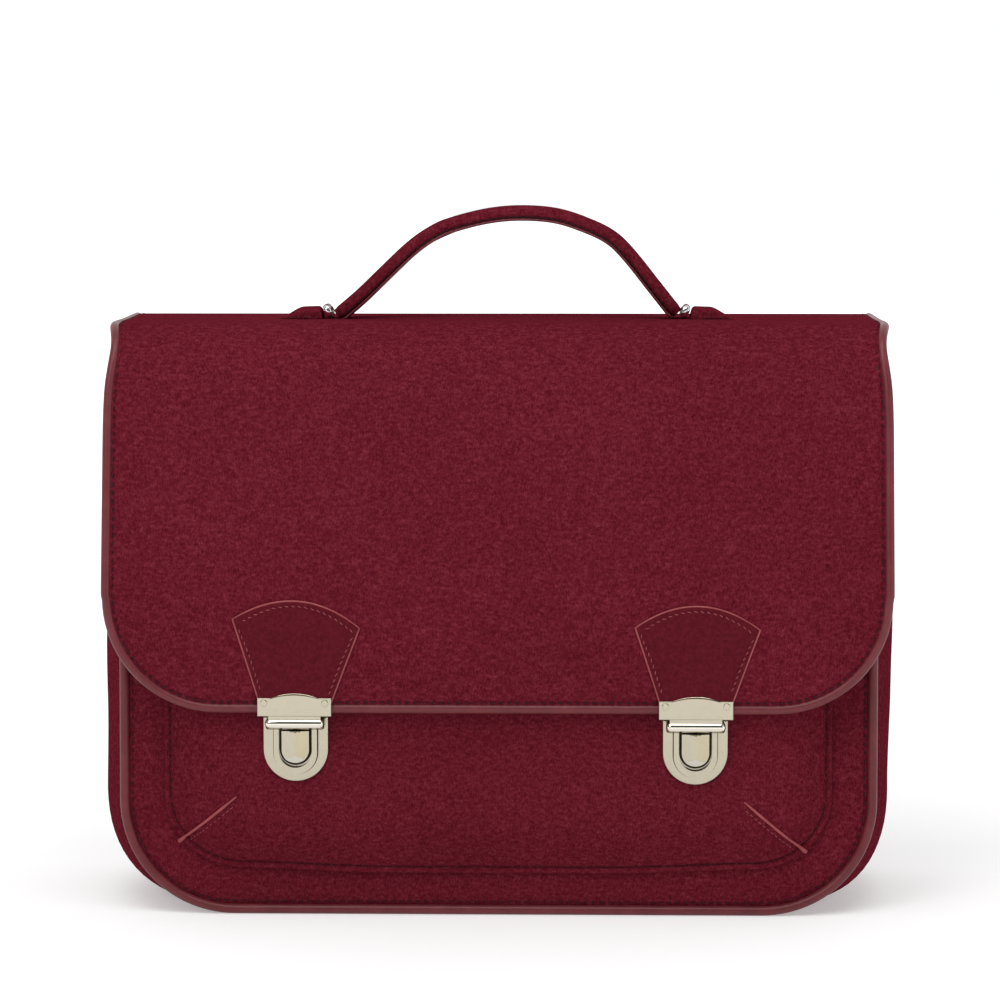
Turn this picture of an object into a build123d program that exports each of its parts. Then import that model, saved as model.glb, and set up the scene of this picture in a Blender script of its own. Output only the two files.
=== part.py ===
from build123d import *
from math import atan2, cos, degrees, radians, sin, tan
import os

# A felt school satchel with a full flap, two tuck locks and a short arched handle.
# The frame stands on its base: X to the wearer's right of the front view, Y to the back, Z up.
# The origin is the centre of the face that it rests on. Millimetres.

os.makedirs("parts", exist_ok=True)

# ---- driving dimensions -------------------------------------------------------------------
felt = 3.0  # thickness of the felt walls
lining = 1.0  # thickness of the cloth linings
gap = 0.3  # clearance between pieces of different bodies
fit = 0.1  # clearance between layers of one body

seam_half_width = 174.2  # front and back panel, to the middle of the piping
seam_corner_radius = 51.0
piping_radius = 2.25
seam_front_y = -54.0  # seam planes at the base
seam_back_y = 54.0
front_lean = 2.4  # degrees that each panel leans towards the middle
back_lean = 1.5
mouth_height = 252.0
back_panel_height = 262.0

gusset_half_width = 188.3  # widest stretch of the side wall
gusset_top_half_width = 181.0
gusset_corner_radius = 43.0
base_sag = 2.5  # how far the raw base would bulge below the floor before it is flattened

flap_half_width = 181.3
flap_bottom = 97.4
flap_corner_radius = 53.0
flap_edge = 4.5  # width of the leather edging
flap_edge_half_thickness = 2.4
flap_half_thickness = (felt + lining) / 2
back_fold = (51.6, 274.7)  # Y and Z of the two fold lines, at the middle of the sheet
front_fold = (-46.0, 271.0)
flap_face_y = -72.5  # middle of the sheet where it hangs straight
flap_break_height = 150.0
strip_height = 38.0  # the flap's back edge, sewn to the back panel
strip_top = back_fold[1] - flap_edge_half_thickness - gap

pocket_half_width = 155.5  # outside of the hem
pocket_bottom = 21.0
pocket_corner_radius = 41.0
pocket_top = 148.0
pocket_face_y = -68.0
hem = 3.0
hem_thickness = 1.6
pocket_face_half_width = 128.0  # the flat front of the pocket
pocket_face_bottom = 52.0
pocket_face_radius = 20.0

locks = {"left": (-92.8, 65.0, 4.0), "right": (91.3, 64.0, 1.0)}  # X, base height, tab tilt
lock_plate_half_width = 14.95
lock_plate_height = 30.0
lock_plate_thickness = 1.3
button_half_width = 6.5
button_travel = 2.0
hasp_plate_bottom = 31.3  # heights above the bottom of the lock plate
hasp_plate_top = 42.0
hasp_half_width = 17.0

handle_y = 6.0
handle_half_width = 9.0
handle_half_thickness = 3.75
ring_wire = 1.4
ring_bar_spacing = 4.6
ring_half_length = 8.4
ring_lean = 25.0
rings = {"left": (-82.1, 279.5, -1), "right": (87.9, 279.5, 1)}  # centre X, Z and outward side
handle_line = [(-71.1, 283.7), (-46.3, 306.5), (-18.2, 320.7), (9.4, 325.5),
               (37.4, 320.8), (60.7, 306.6), (78.8, 283.8)]

# ---- planes that the walls are drawn on ---------------------------------------------------
front_lean_rad = radians(front_lean)
back_lean_rad = radians(back_lean)
front_seam = Plane(origin=(0, seam_front_y, 0), x_dir=(1, 0, 0),
                   z_dir=(0, -cos(front_lean_rad), sin(front_lean_rad)))
back_seam = Plane(origin=(0, seam_back_y, 0), x_dir=(1, 0, 0),
                  z_dir=(0, -cos(back_lean_rad), -sin(back_lean_rad)))


def facing(x, y, z):
    """A plane that faces the front, with its sketch axes along X and Z."""
    return Plane(origin=(x, y, z), x_dir=(1, 0, 0), z_dir=(0, -1, 0))


def front_face_y(z):
    """Y of the front panel's outer face at a height."""
    return seam_front_y - felt + z * tan(front_lean_rad)


def save(piece, name):
    piece.part.label = name
    export_step(piece.part, f"parts/{name}.step")


def draw_wall(sketch, bottom_half, top_half, bottom, top, corner_radius):
    """A wall outline with two rounded bottom corners, in the sketch in progress."""
    Polygon((-top_half, top), (-bottom_half, bottom), (bottom_half, bottom), (top_half, top),
            align=None)
    fillet(sketch.vertices().group_by(Axis.Y)[0], corner_radius)


def make_panel(plane, start, thickness, inset, top):
    """A flat wall layer: starts at a distance outside the plane and grows outwards."""
    with BuildPart() as panel:
        with BuildSketch(plane.offset(start)) as outline:
            draw_wall(outline, seam_half_width - inset, seam_half_width - inset,
                      piping_radius + inset, top, seam_corner_radius - inset)
        extrude(amount=thickness)
    return panel


def make_gusset_block(inset, middle_bottom, top):
    """The rounded side and base volume between the two seam planes."""
    with BuildPart() as block:
        with BuildSketch(front_seam) as outline:
            draw_wall(outline, seam_half_width - inset, seam_half_width - inset,
                      piping_radius + inset, top, seam_corner_radius - inset)
        with BuildSketch(Plane.XZ) as outline:
            draw_wall(outline, gusset_half_width - inset, gusset_top_half_width - inset,
                      middle_bottom, top, gusset_corner_radius - inset)
        with BuildSketch(back_seam) as outline:
            draw_wall(outline, seam_half_width - inset, seam_half_width - inset,
                      piping_radius + inset, top, seam_corner_radius - inset)
        loft()
    return block


def make_piping(plane, top):
    """A round cord along the sides and bottom of a panel."""
    with BuildPart() as piping:
        with BuildLine(plane) as seam:
            FilletPolyline((-seam_half_width, top), (-seam_half_width, piping_radius),
                           (seam_half_width, piping_radius), (seam_half_width, top),
                           radius=seam_corner_radius)
        with BuildSketch(Plane(origin=seam.line @ 0, z_dir=seam.line % 0)):
            Circle(piping_radius)
        sweep()
    return piping


# ---- body: panels, gusset, piping ---------------------------------------------------------
piping_stand_off = 2.0  # the cord sits this far outside the seam plane
front_piping = make_piping(front_seam.offset(piping_stand_off), mouth_height)
save(front_piping, "front_piping")
back_piping = make_piping(back_seam.offset(-piping_stand_off), strip_top - strip_height)
save(back_piping, "back_piping")

front_panel = make_panel(front_seam, 0, felt, 0, mouth_height)
with front_panel:
    add(front_piping.part, mode=Mode.SUBTRACT)
save(front_panel, "front_panel")

back_panel = make_panel(back_seam, 0, -felt, 0, back_panel_height)
with back_panel:
    add(back_piping.part, mode=Mode.SUBTRACT)
save(back_panel, "back_panel")

board = 1.5  # stiffener boards between felt and lining
board_inset = felt + gap
open_top = mouth_height + 20
front_stiffener = make_panel(front_seam, -fit, -board, board_inset, mouth_height)
save(front_stiffener, "front_stiffener")
back_stiffener = make_panel(back_seam, fit, board, board_inset, mouth_height)
save(back_stiffener, "back_stiffener")
lining_start = fit + board + fit
front_lining = make_panel(front_seam, -lining_start, -lining, board_inset, mouth_height)
save(front_lining, "front_lining")
back_lining = make_panel(back_seam, lining_start, lining, board_inset, mouth_height)
save(back_lining, "back_lining")

gusset_hollow = make_gusset_block(felt, felt, open_top)
gusset = make_gusset_block(0, -base_sag, mouth_height)
with gusset:
    split(bisect_by=Plane.XY, keep=Keep.TOP)
    add(gusset_hollow.part, mode=Mode.SUBTRACT)
    add(front_piping.part, mode=Mode.SUBTRACT)
    add(back_piping.part, mode=Mode.SUBTRACT)
save(gusset, "gusset")

lining_depth = lining_start + lining + fit
lining_hollow = make_gusset_block(board_inset + lining, board_inset + lining, open_top)
gusset_lining = make_gusset_block(board_inset, board_inset, mouth_height)
with gusset_lining:
    add(lining_hollow.part, mode=Mode.SUBTRACT)
    split(bisect_by=front_seam.offset(-lining_depth), keep=Keep.BOTTOM)
    split(bisect_by=back_seam.offset(lining_depth), keep=Keep.TOP)
save(gusset_lining, "gusset_lining")

base_board_half_width = 118.0
base_board_half_depth = 47.0
base_board_bottom = 7.0
base_board_thickness = 2.0
with BuildPart() as base_board:
    with BuildSketch(Plane.XY.offset(base_board_bottom)):
        RectangleRounded(2 * base_board_half_width, 2 * base_board_half_depth, 8)
    extrude(amount=base_board_thickness)
save(base_board, "base_board")

# The leather binding of the mouth runs round three sides and stops at the back panel.
binding_height = 5.0
binding_width = 5.5
mouth_front_y = front_face_y(mouth_height) - 0.4
mouth_back_y = seam_back_y - mouth_height * tan(back_lean_rad) - gap
with BuildPart() as mouth_binding:
    with BuildSketch(Plane.XY.offset(mouth_height + fit)):
        for inset, mode in ((0, Mode.ADD), (binding_width, Mode.SUBTRACT)):
            half = seam_half_width + 0.4 - inset
            bulge = gusset_top_half_width + 0.8 - inset
            back = mouth_back_y + inset
            with BuildLine():
                ThreePointArc((-half, back), (-bulge, 0), (-half, mouth_front_y + inset))
                Line((-half, mouth_front_y + inset), (half, mouth_front_y + inset))
                ThreePointArc((half, mouth_front_y + inset), (bulge, 0), (half, back))
                Line((half, back), (-half, back))
            make_face(mode=mode)
    extrude(amount=binding_height)
save(mouth_binding, "mouth_binding")

# ---- front pocket -------------------------------------------------------------------------
hem_plane = front_seam.offset(felt)
pocket_wall_inset = hem
pocket_root_inset = 0.2


def make_pocket_block(inset, face_depth, top):
    """The raised volume of the pocket, between the hem plane and its flat face."""
    with BuildPart() as block:
        with BuildSketch(hem_plane) as outline:
            half = pocket_half_width - pocket_wall_inset - inset
            draw_wall(outline, half, half, pocket_bottom + pocket_wall_inset + inset, top,
                      pocket_corner_radius - pocket_wall_inset - inset)
        with BuildSketch(facing(0, pocket_face_y + face_depth, 0)) as outline:
            half = pocket_face_half_width - inset
            draw_wall(outline, half, half, pocket_face_bottom + inset, top,
                      pocket_face_radius - inset)
        loft()
    return block


pocket_hollow = make_pocket_block(felt, felt, pocket_top + 30)
pocket_panel = make_pocket_block(0, 0, pocket_top)
with pocket_panel:
    with BuildSketch(hem_plane) as outline:
        draw_wall(outline, pocket_half_width, pocket_half_width, pocket_bottom, pocket_top,
                  pocket_corner_radius)
    extrude(outline.sketch, amount=hem_thickness)
    add(pocket_hollow.part, mode=Mode.SUBTRACT)

# The dart edges cross the pocket's rounded bottom corners.
dart_outer = (143.0, -59.6, 34.0)
dart_inner = (118.5, -68.3, 57.0)
dart_radius = 0.9
with BuildPart() as pocket_dart_bindings:
    for side in (-1, 1):
        with BuildLine() as dart:
            Line((side * dart_outer[0], dart_outer[1], dart_outer[2]),
                 (side * dart_inner[0], dart_inner[1], dart_inner[2]))
        with BuildSketch(Plane(origin=dart.line @ 0, z_dir=dart.line % 0)):
            Circle(dart_radius)
        sweep()
save(pocket_dart_bindings, "pocket_dart_bindings")

pocket_binding_height = 2.5
with BuildPart() as pocket_binding:
    with BuildSketch(Plane.XY.offset(pocket_top)):
        with Locations((0, pocket_face_y + felt / 2)):
            RectangleRounded(2 * pocket_face_half_width - 2, felt + 1.2, 1)
    extrude(amount=pocket_binding_height)
save(pocket_binding, "pocket_binding")

# ---- tuck locks: the fixed half, on the pocket --------------------------------------------
lock_front_y = pocket_face_y - lock_plate_thickness
window_centre = 16.3
button_bottom = 8.65
button_top = 24.0
window_gap = 0.5
cup_width = 20.0
cup_height = 21.0
cup_wall = 1.2
cup_depth = 7.5
back_plate_thickness = 0.8
stud_radius = 0.8
stud_spots = [(-11.9, 26.0), (11.9, 26.0), (-11.6, 9.5), (11.6, 9.5)]


def draw_tongue(half_width, bottom, top, mode=Mode.ADD):
    """A plate outline with a straight top and a half-round bottom."""
    centre = bottom + half_width
    with Locations((0, (centre + top) / 2)):
        Rectangle(2 * half_width, top - centre, mode=mode)
    with Locations((0, centre)):
        Circle(half_width, mode=mode)


def make_lock_studs(x, z):
    """Four studs that hold the lock plate to its washer plate behind the felt."""
    with BuildPart() as studs:
        with BuildSketch(facing(x, pocket_face_y + felt + back_plate_thickness + 0.5, z)):
            with Locations(stud_spots):
                Circle(stud_radius + 0.6)
        extrude(amount=0.5)
        with BuildSketch(facing(x, pocket_face_y + felt + back_plate_thickness, z)):
            with Locations(stud_spots):
                Circle(stud_radius)
        extrude(amount=felt + back_plate_thickness + lock_plate_thickness / 2)
    return studs


def make_lock_base(x, z, studs):
    """The lock's front plate with the cup that guides its button."""
    with BuildPart() as base:
        with BuildSketch(facing(x, pocket_face_y, z)):
            draw_tongue(lock_plate_half_width, 0, lock_plate_height)
        extrude(amount=lock_plate_thickness)
        rim = base.faces().sort_by(Axis.Y)[0].edges()
        fillet(rim, 0.5)
        with BuildSketch(facing(x, pocket_face_y, z)):
            with Locations((0, window_centre)):
                Rectangle(cup_width, cup_height)
        extrude(amount=-cup_depth)
        with BuildSketch(facing(x, pocket_face_y, z)):
            with Locations((0, window_centre)):
                Rectangle(cup_width - 2 * cup_wall, cup_height - 2 * cup_wall)
        extrude(amount=cup_wall - cup_depth, mode=Mode.SUBTRACT)
        with BuildSketch(facing(x, pocket_face_y, z)):
            draw_tongue(button_half_width + window_gap, button_bottom - window_gap,
                        button_top + window_gap)
        extrude(amount=lock_plate_thickness, mode=Mode.SUBTRACT)
        add(studs.part, mode=Mode.SUBTRACT)
    return base


def make_lock_back_plate(x, z, studs):
    """The washer plate on the inside of the pocket's felt."""
    with BuildPart() as plate:
        with BuildSketch(facing(x, pocket_face_y + felt + back_plate_thickness, z)):
            with Locations((0, window_centre + 1)):
                RectangleRounded(28, 26, 3)
            with Locations((0, window_centre)):
                Rectangle(cup_width + fit, cup_height + fit, mode=Mode.SUBTRACT)
        extrude(amount=back_plate_thickness)
        add(studs.part, mode=Mode.SUBTRACT)
    return plate


def make_lock_button(x, z):
    """The button: a flanged block whose face is a shallow roof with a cut-back foot."""
    flange_y = pocket_face_y + fit
    flange = 1.0
    ridge_y = -73.5
    edge_y = -71.8
    foot_y = lock_front_y - gap
    with BuildPart() as button:
        with BuildSketch(facing(x, flange_y, z)):
            draw_tongue(button_half_width, button_bottom, button_top)
        extrude(amount=flange_y - ridge_y)
        with BuildSketch(Plane.XY.offset(z)):
            Polygon((x - 10, flange_y), (x - 10, edge_y), (x - button_half_width, edge_y),
                    (x, ridge_y), (x + button_half_width, edge_y), (x + 10, edge_y),
                    (x + 10, flange_y), align=None)
        extrude(amount=2 * lock_plate_height, both=True, mode=Mode.INTERSECT)
        foot = z + button_bottom
        with BuildSketch(Plane.YZ.offset(x)):
            Polygon((foot_y, foot), (foot_y, foot - 3), (ridge_y - 1, foot - 3),
                    (ridge_y - 1, foot + 1.3 * (foot_y - ridge_y + 1)), align=None)
        extrude(amount=2 * button_half_width, both=True, mode=Mode.SUBTRACT)
        with BuildSketch(facing(x, flange_y + flange, z)):
            with Locations((0, window_centre)):
                Rectangle(cup_width - 2 * cup_wall - 0.8, cup_height - 2 * cup_wall - 0.8)
        extrude(amount=flange)
    return button


def make_lock_spring(x, z):
    """The coil spring that pushes the button out."""
    wire = 0.3
    start_y = pocket_face_y + fit + 1.0 + wire + 0.05
    end_y = pocket_face_y + cup_depth - cup_wall - wire - 0.05
    with BuildPart() as spring:
        with BuildLine() as coil:
            Helix(pitch=1.2, height=end_y - start_y, radius=3.4,
                  center=(x, start_y, z + window_centre), direction=(0, 1, 0))
        with BuildSketch(Plane(origin=coil.line @ 0, z_dir=coil.line % 0)):
            Circle(wire)
        sweep()
    return spring


for side, (lock_x, lock_z, _) in locks.items():
    studs = make_lock_studs(lock_x, lock_z)
    save(studs, f"lock_studs_{side}")
    save(make_lock_base(lock_x, lock_z, studs), f"lock_base_{side}")
    save(make_lock_back_plate(lock_x, lock_z, studs), f"lock_back_plate_{side}")
    save(make_lock_button(lock_x, lock_z), f"lock_button_{side}")
    save(make_lock_spring(lock_x, lock_z), f"lock_spring_{side}")
    with pocket_panel:
        add(studs.part, mode=Mode.SUBTRACT)
        with BuildSketch(facing(lock_x, pocket_face_y - 1, lock_z)) as cup_hole:
            with Locations((0, window_centre)):
                Rectangle(cup_width + fit, cup_height + fit)
        extrude(cup_hole.sketch, amount=-felt - 2, mode=Mode.SUBTRACT)

with pocket_panel:
    add(pocket_dart_bindings.part, mode=Mode.SUBTRACT)
save(pocket_panel, "pocket_panel")

# ---- flap ---------------------------------------------------------------------------------
with BuildPart() as flap_back_strip:
    with BuildSketch(back_seam.offset(-felt - fit)):
        with Locations((0, strip_top - strip_height / 2)):
            Rectangle(2 * flap_half_width, strip_height)
    extrude(amount=-felt)
save(flap_back_strip, "flap_back_strip")


def make_flap_top_layer(low, high, half_width, nose_radius, margin):
    """A layer of the flap between the folds, its two heights measured from the mid-sheet."""
    (back_y, back_z), (front_y, front_z) = back_fold, front_fold
    slope = (back_z - front_z) / (back_y - front_y)
    start_y, end_y = front_y + margin, back_y - margin
    start_z, end_z = front_z + margin * slope, back_z - margin * slope
    with BuildPart() as layer:
        with BuildSketch(Plane.YZ):
            Polygon((start_y, start_z + low), (end_y, end_z + low),
                    (end_y, end_z + high), (start_y, start_z + high), align=None)
            if nose_radius:
                with Locations(back_fold, front_fold):
                    Circle(nose_radius)
        extrude(amount=half_width, both=True)
    return layer


lining_top = -flap_half_thickness + lining
nose_margin = flap_half_thickness + gap
flap_top_lining = make_flap_top_layer(-flap_half_thickness, lining_top,
                                      flap_half_width - flap_edge, 0, nose_margin)
save(flap_top_lining, "flap_top_lining")
flap_top_panel = make_flap_top_layer(lining_top, flap_half_thickness,
                                     flap_half_width - flap_edge, flap_half_thickness, 0)
with flap_top_panel:
    add(flap_top_lining.part, mode=Mode.SUBTRACT)
save(flap_top_panel, "flap_top_panel")
flap_top_piping = make_flap_top_layer(-flap_edge_half_thickness, flap_edge_half_thickness,
                                      flap_half_width, flap_edge_half_thickness, 0)
with flap_top_piping:
    with BuildSketch(Plane.YZ) as middle:
        with Locations((0, front_fold[1])):
            Rectangle(200, 40)
    extrude(middle.sketch, amount=flap_half_width - flap_edge, both=True, mode=Mode.SUBTRACT)
save(flap_top_piping, "flap_top_piping")

flap_front_line = [(-46.4, 268.7), (-55.5, 252.0), (flap_face_y, flap_break_height),
                   (flap_face_y, 80.0)]


def make_flap_front_layer(inner, outer, inset, top):
    """A layer of the hanging flap; inner and outer are measured forwards from the mid-sheet."""
    with BuildPart() as layer:
        with BuildSketch(Plane.YZ):
            Polygon(*[(y - inner, z) for y, z in flap_front_line],
                    *[(y - outer, z) for y, z in reversed(flap_front_line)], align=None)
        extrude(amount=flap_half_width, both=True)
        with BuildSketch(Plane.XZ) as outline:
            draw_wall(outline, flap_half_width - inset, flap_half_width - inset,
                      flap_bottom + inset, top, flap_corner_radius - inset)
        extrude(amount=100, both=True, mode=Mode.INTERSECT)
    return layer


flap_front_top = front_fold[1] - flap_half_thickness - gap
flap_front_lining = make_flap_front_layer(-flap_half_thickness, lining_top, flap_edge,
                                          flap_front_top)
flap_front_panel = make_flap_front_layer(lining_top, flap_half_thickness, flap_edge,
                                         flap_front_top)
edge_top = front_fold[1] - flap_edge_half_thickness - gap
flap_front_piping = make_flap_front_layer(-flap_edge_half_thickness, flap_edge_half_thickness,
                                          0, edge_top)
with flap_front_piping:
    with BuildSketch(Plane.XZ) as outline:
        draw_wall(outline, flap_half_width - flap_edge, flap_half_width - flap_edge,
                  flap_bottom + flap_edge, open_top + 20, flap_corner_radius - flap_edge)
    extrude(outline.sketch, amount=100, both=True, mode=Mode.SUBTRACT)

# ---- tuck locks: the moving half, on the flap ---------------------------------------------
flap_outer_y = flap_face_y - flap_half_thickness
tab_thickness = 1.2
plate_back_y = flap_outer_y - tab_thickness
plate_thickness = 1.2
clamp_thickness = 1.0
clamp_front_y = flap_face_y + flap_edge_half_thickness
rivet_radius = 1.1
rivet_spots = [(-14.0, 37.5), (14.0, 37.5)]
bar_radius = 2.6
bar_height = 27.1
bar_y = lock_front_y - 0.2 - bar_radius
bar_half_length = 13.5
loop_thickness = 2.4
tab_bottom = 103.4
tab_corner_height = 73.3
tab_peak_height = 83.7
tab_bottom_half = 17.0
tab_top_half = 29.2


def make_hasp_rivets(x, z):
    """Two rivets through the plate, the tab, the flap and the clamp."""
    with BuildPart() as rivets:
        with BuildSketch(facing(x, clamp_front_y + clamp_thickness, z)):
            with Locations(rivet_spots):
                Circle(rivet_radius)
        extrude(amount=clamp_front_y + clamp_thickness - plate_back_y + plate_thickness)
        with BuildSketch(facing(x, clamp_front_y + clamp_thickness + 0.4, z)):
            with Locations(rivet_spots):
                Circle(rivet_radius + 0.6)
        extrude(amount=0.4)
        with BuildSketch(facing(x, plate_back_y - plate_thickness, z)):
            with Locations(rivet_spots):
                Circle(rivet_radius + 0.5)
        extrude(amount=0.5)
        fillet(rivets.faces().sort_by(Axis.Y)[0].edges(), 0.3)
        fillet(rivets.faces().sort_by(Axis.Y)[1].edges(), 0.3)
    return rivets


def make_lock_tab(x, z, tilt, rivets):
    """The fan-shaped leather patch above the lock, with an arched top."""
    foot = tab_bottom - z
    with BuildPart() as tab:
        tilt_rad = radians(tilt)
        tab_plane = Plane(origin=(x, flap_outer_y, tab_bottom), z_dir=(0, -1, 0),
                          x_dir=(cos(tilt_rad), 0, -sin(tilt_rad)))
        with BuildSketch(tab_plane):
            with BuildLine():
                Line((-tab_bottom_half, 0), (tab_bottom_half, 0))
                Line((tab_bottom_half, 0), (tab_top_half, tab_corner_height - foot))
                ThreePointArc((tab_top_half, tab_corner_height - foot),
                              (0, tab_peak_height - foot),
                              (-tab_top_half, tab_corner_height - foot))
                Line((-tab_top_half, tab_corner_height - foot), (-tab_bottom_half, 0))
            make_face()
        extrude(amount=tab_thickness)
        add(rivets.part, mode=Mode.SUBTRACT)
    return tab


def make_hasp(x, z, rivets):
    """The front plate, the rounded bar and the loop that goes over the button."""
    plate_front_y = plate_back_y - plate_thickness
    with BuildPart() as hasp:
        with BuildSketch(facing(x, plate_back_y, z)):
            with BuildLine():
                ear = hasp_plate_top - 2.2
                shoulder = hasp_half_width - 6
                Polyline((-shoulder, ear), (-hasp_half_width, ear),
                         (-hasp_half_width, hasp_plate_bottom),
                         (hasp_half_width, hasp_plate_bottom), (hasp_half_width, ear),
                         (shoulder, ear))
                ThreePointArc((shoulder, ear), (0, hasp_plate_top), (-shoulder, ear))
            make_face()
        extrude(amount=plate_thickness)
        fillet(hasp.faces().sort_by(Axis.Y)[0].edges(), 0.4)
        with BuildSketch(facing(x, clamp_front_y, z)):
            with Locations((0, 30.4)):
                Rectangle(2 * bar_half_length - 3, 3.2)
        extrude(amount=clamp_front_y - plate_front_y - 0.6)
        with BuildSketch(Plane.YZ.offset(x)):
            with Locations((bar_y, z + bar_height)):
                Circle(bar_radius)
        extrude(amount=bar_half_length, both=True)
        for end in (0, -1):
            fillet(hasp.edges().filter_by(GeomType.CIRCLE).sort_by(Axis.X)[end], 1.2)
        with BuildSketch(facing(x, lock_front_y - gap, z)):
            draw_tongue(10.0, 3.6, bar_height)
            draw_tongue(7.6, 6.7, bar_height - bar_radius + 0.2, mode=Mode.SUBTRACT)
        extrude(amount=loop_thickness)
        add(rivets.part, mode=Mode.SUBTRACT)
    return hasp


def make_hasp_clamp(x, z, rivets):
    """The plate on the inside of the flap that the rivets pull against."""
    with BuildPart() as clamp:
        with BuildSketch(facing(x, clamp_front_y + clamp_thickness, z)):
            with Locations((0, (hasp_plate_bottom + hasp_plate_top - 2) / 2)):
                RectangleRounded(2 * hasp_half_width - 1, hasp_plate_top - hasp_plate_bottom - 2,
                                 1.5)
        extrude(amount=clamp_thickness)
        add(rivets.part, mode=Mode.SUBTRACT)
    return clamp


for side, (lock_x, lock_z, tilt) in locks.items():
    rivets = make_hasp_rivets(lock_x, lock_z)
    save(rivets, f"hasp_rivets_{side}")
    save(make_lock_tab(lock_x, lock_z, tilt, rivets), f"lock_tab_{side}")
    save(make_hasp(lock_x, lock_z, rivets), f"hasp_{side}")
    save(make_hasp_clamp(lock_x, lock_z, rivets), f"hasp_clamp_{side}")
    for layer in (flap_front_panel, flap_front_lining, flap_front_piping):
        with layer:
            add(rivets.part, mode=Mode.SUBTRACT)

save(flap_front_lining, "flap_front_lining")
save(flap_front_panel, "flap_front_panel")
save(flap_front_piping, "flap_front_piping")

# ---- handle -------------------------------------------------------------------------------
loop_half_width = 6.0
loop_inner = ring_wire + 0.15
loop_outer = loop_inner + 0.6
handle_plane = Plane(origin=(0, handle_y, 0), x_dir=(1, 0, 0), z_dir=(0, -1, 0))


def bar_centre(side, upper):
    """X and Z of a ring's bar: the upper one in the chape, the lower one in the handle."""
    ring_x, ring_z, outward = rings[side]
    reach = ring_bar_spacing / 2 * (1 if upper else -1)
    return (ring_x + outward * reach * sin(radians(ring_lean)),
            ring_z + reach * cos(radians(ring_lean)))


def make_ring(side):
    """A rectangular wire ring that leans outwards at the top."""
    ring_x, ring_z, outward = rings[side]
    lean = radians(ring_lean)
    across = (outward * sin(lean), 0, cos(lean))
    plane = Plane(origin=(ring_x, handle_y, ring_z), x_dir=(0, 1, 0),
                  z_dir=(across[2], 0, -across[0]))
    half_length = ring_half_length
    half_height = ring_bar_spacing / 2
    with BuildPart() as ring:
        with BuildLine(plane) as path:
            corner = 1.6
            FilletPolyline((-half_length, half_height), (-half_length, -half_height),
                           (half_length, -half_height), (half_length, half_height),
                           radius=corner, close=True)
        with BuildSketch(Plane(origin=path.line @ 0, z_dir=path.line % 0)):
            Circle(ring_wire)
        sweep()
    return ring


def make_chape(side):
    """The felt tab that is sewn to the flap and wraps the ring's upper bar."""
    ring_x, ring_z, outward = rings[side]
    bar_x, bar_z = bar_centre(side, upper=True)
    root = 21.5
    surface = 273.0
    body_end = bar_x + outward * 3.2
    with BuildPart() as chape:
        with BuildSketch(facing(0, handle_y + handle_half_width, 0)):
            Polygon((body_end, surface), (body_end, bar_z), (bar_x + outward * 12, bar_z - 0.6),
                    (bar_x + outward * (root - 3), bar_z - 4.6),
                    (bar_x + outward * root, surface), align=None)
        extrude(amount=2 * handle_half_width)
        with BuildSketch(facing(0, handle_y + loop_half_width, 0)):
            with Locations((bar_x, bar_z)):
                Circle(loop_outer)
            with Locations((bar_x + outward * 2, bar_z - loop_outer / 2)):
                Rectangle(4.0, loop_outer)
            with Locations((bar_x, bar_z)):
                Circle(loop_inner, mode=Mode.SUBTRACT)
        extrude(amount=2 * loop_half_width)
        add(flap_top_panel.part, mode=Mode.SUBTRACT)
    return chape


def make_handle_strip(low, high, half_width, corner=0.0):
    """A strip swept along the handle, its two heights measured across the curve."""
    with BuildPart() as strip:
        with BuildLine(handle_plane) as path:
            Spline(*handle_line)
        section = Plane(origin=path.line @ 0, x_dir=(0, 1, 0), z_dir=path.line % 0)
        with BuildSketch(section):
            with Locations((0, -(low + high) / 2)):
                if corner:
                    RectangleRounded(2 * half_width, high - low, corner)
                else:
                    Rectangle(2 * half_width, high - low)
        sweep()
    return strip


cover_wall = 1.2
underside_thickness = 1.5
cover_low = -handle_half_thickness + underside_thickness
handle_core = make_handle_strip(cover_low + cover_wall, handle_half_thickness - cover_wall,
                                handle_half_width - cover_wall, 1.2)
save(handle_core, "handle_core")
handle_cover = make_handle_strip(cover_low, handle_half_thickness, handle_half_width, 2.4)
with handle_cover:
    add(handle_core.part, mode=Mode.SUBTRACT)
save(handle_cover, "handle_cover")
handle_underside = make_handle_strip(-handle_half_thickness, cover_low, handle_half_width - 0.5)
save(handle_underside, "handle_underside")


def make_handle_end(side):
    """The handle's soft end: a short stretch of it, and the strap round the ring's lower bar."""
    bar_x, bar_z = bar_centre(side, upper=False)
    block_length = 4.5
    strap_thickness = 2.4
    with BuildPart() as end:
        with BuildLine(handle_plane) as path:
            Spline(*handle_line)
        start = path.line @ (0 if side == "left" else 1)
        outwards = -(path.line % 0) if side == "left" else path.line % 1
        with BuildSketch(Plane(origin=start, x_dir=(0, 1, 0), z_dir=outwards)):
            RectangleRounded(2 * handle_half_width, 2 * handle_half_thickness, 2)
        extrude(amount=block_length)
        root = start + outwards * block_length * 0.6
        reach = Vector(bar_x - root.X, bar_z - root.Z)
        with BuildSketch(facing(0, handle_y + loop_half_width, 0)):
            middle = ((bar_x + root.X) / 2, (bar_z + root.Z) / 2)
            with Locations(Location(middle, degrees(atan2(reach.Y, reach.X)))):
                Rectangle(reach.length, strap_thickness)
            with Locations((bar_x, bar_z)):
                Circle(loop_outer)
                Circle(loop_inner, mode=Mode.SUBTRACT)
        extrude(amount=2 * loop_half_width)
    return end


for side in rings:
    save(make_ring(side), f"handle_ring_{side}")
    save(make_chape(side), f"handle_chape_{side}")
    save(make_handle_end(side), f"handle_end_{side}")
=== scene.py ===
import math
from math import cos, pi, radians, sin

import bmesh
import bpy
import numpy as np
from mathutils import Euler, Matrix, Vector, noise


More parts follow.
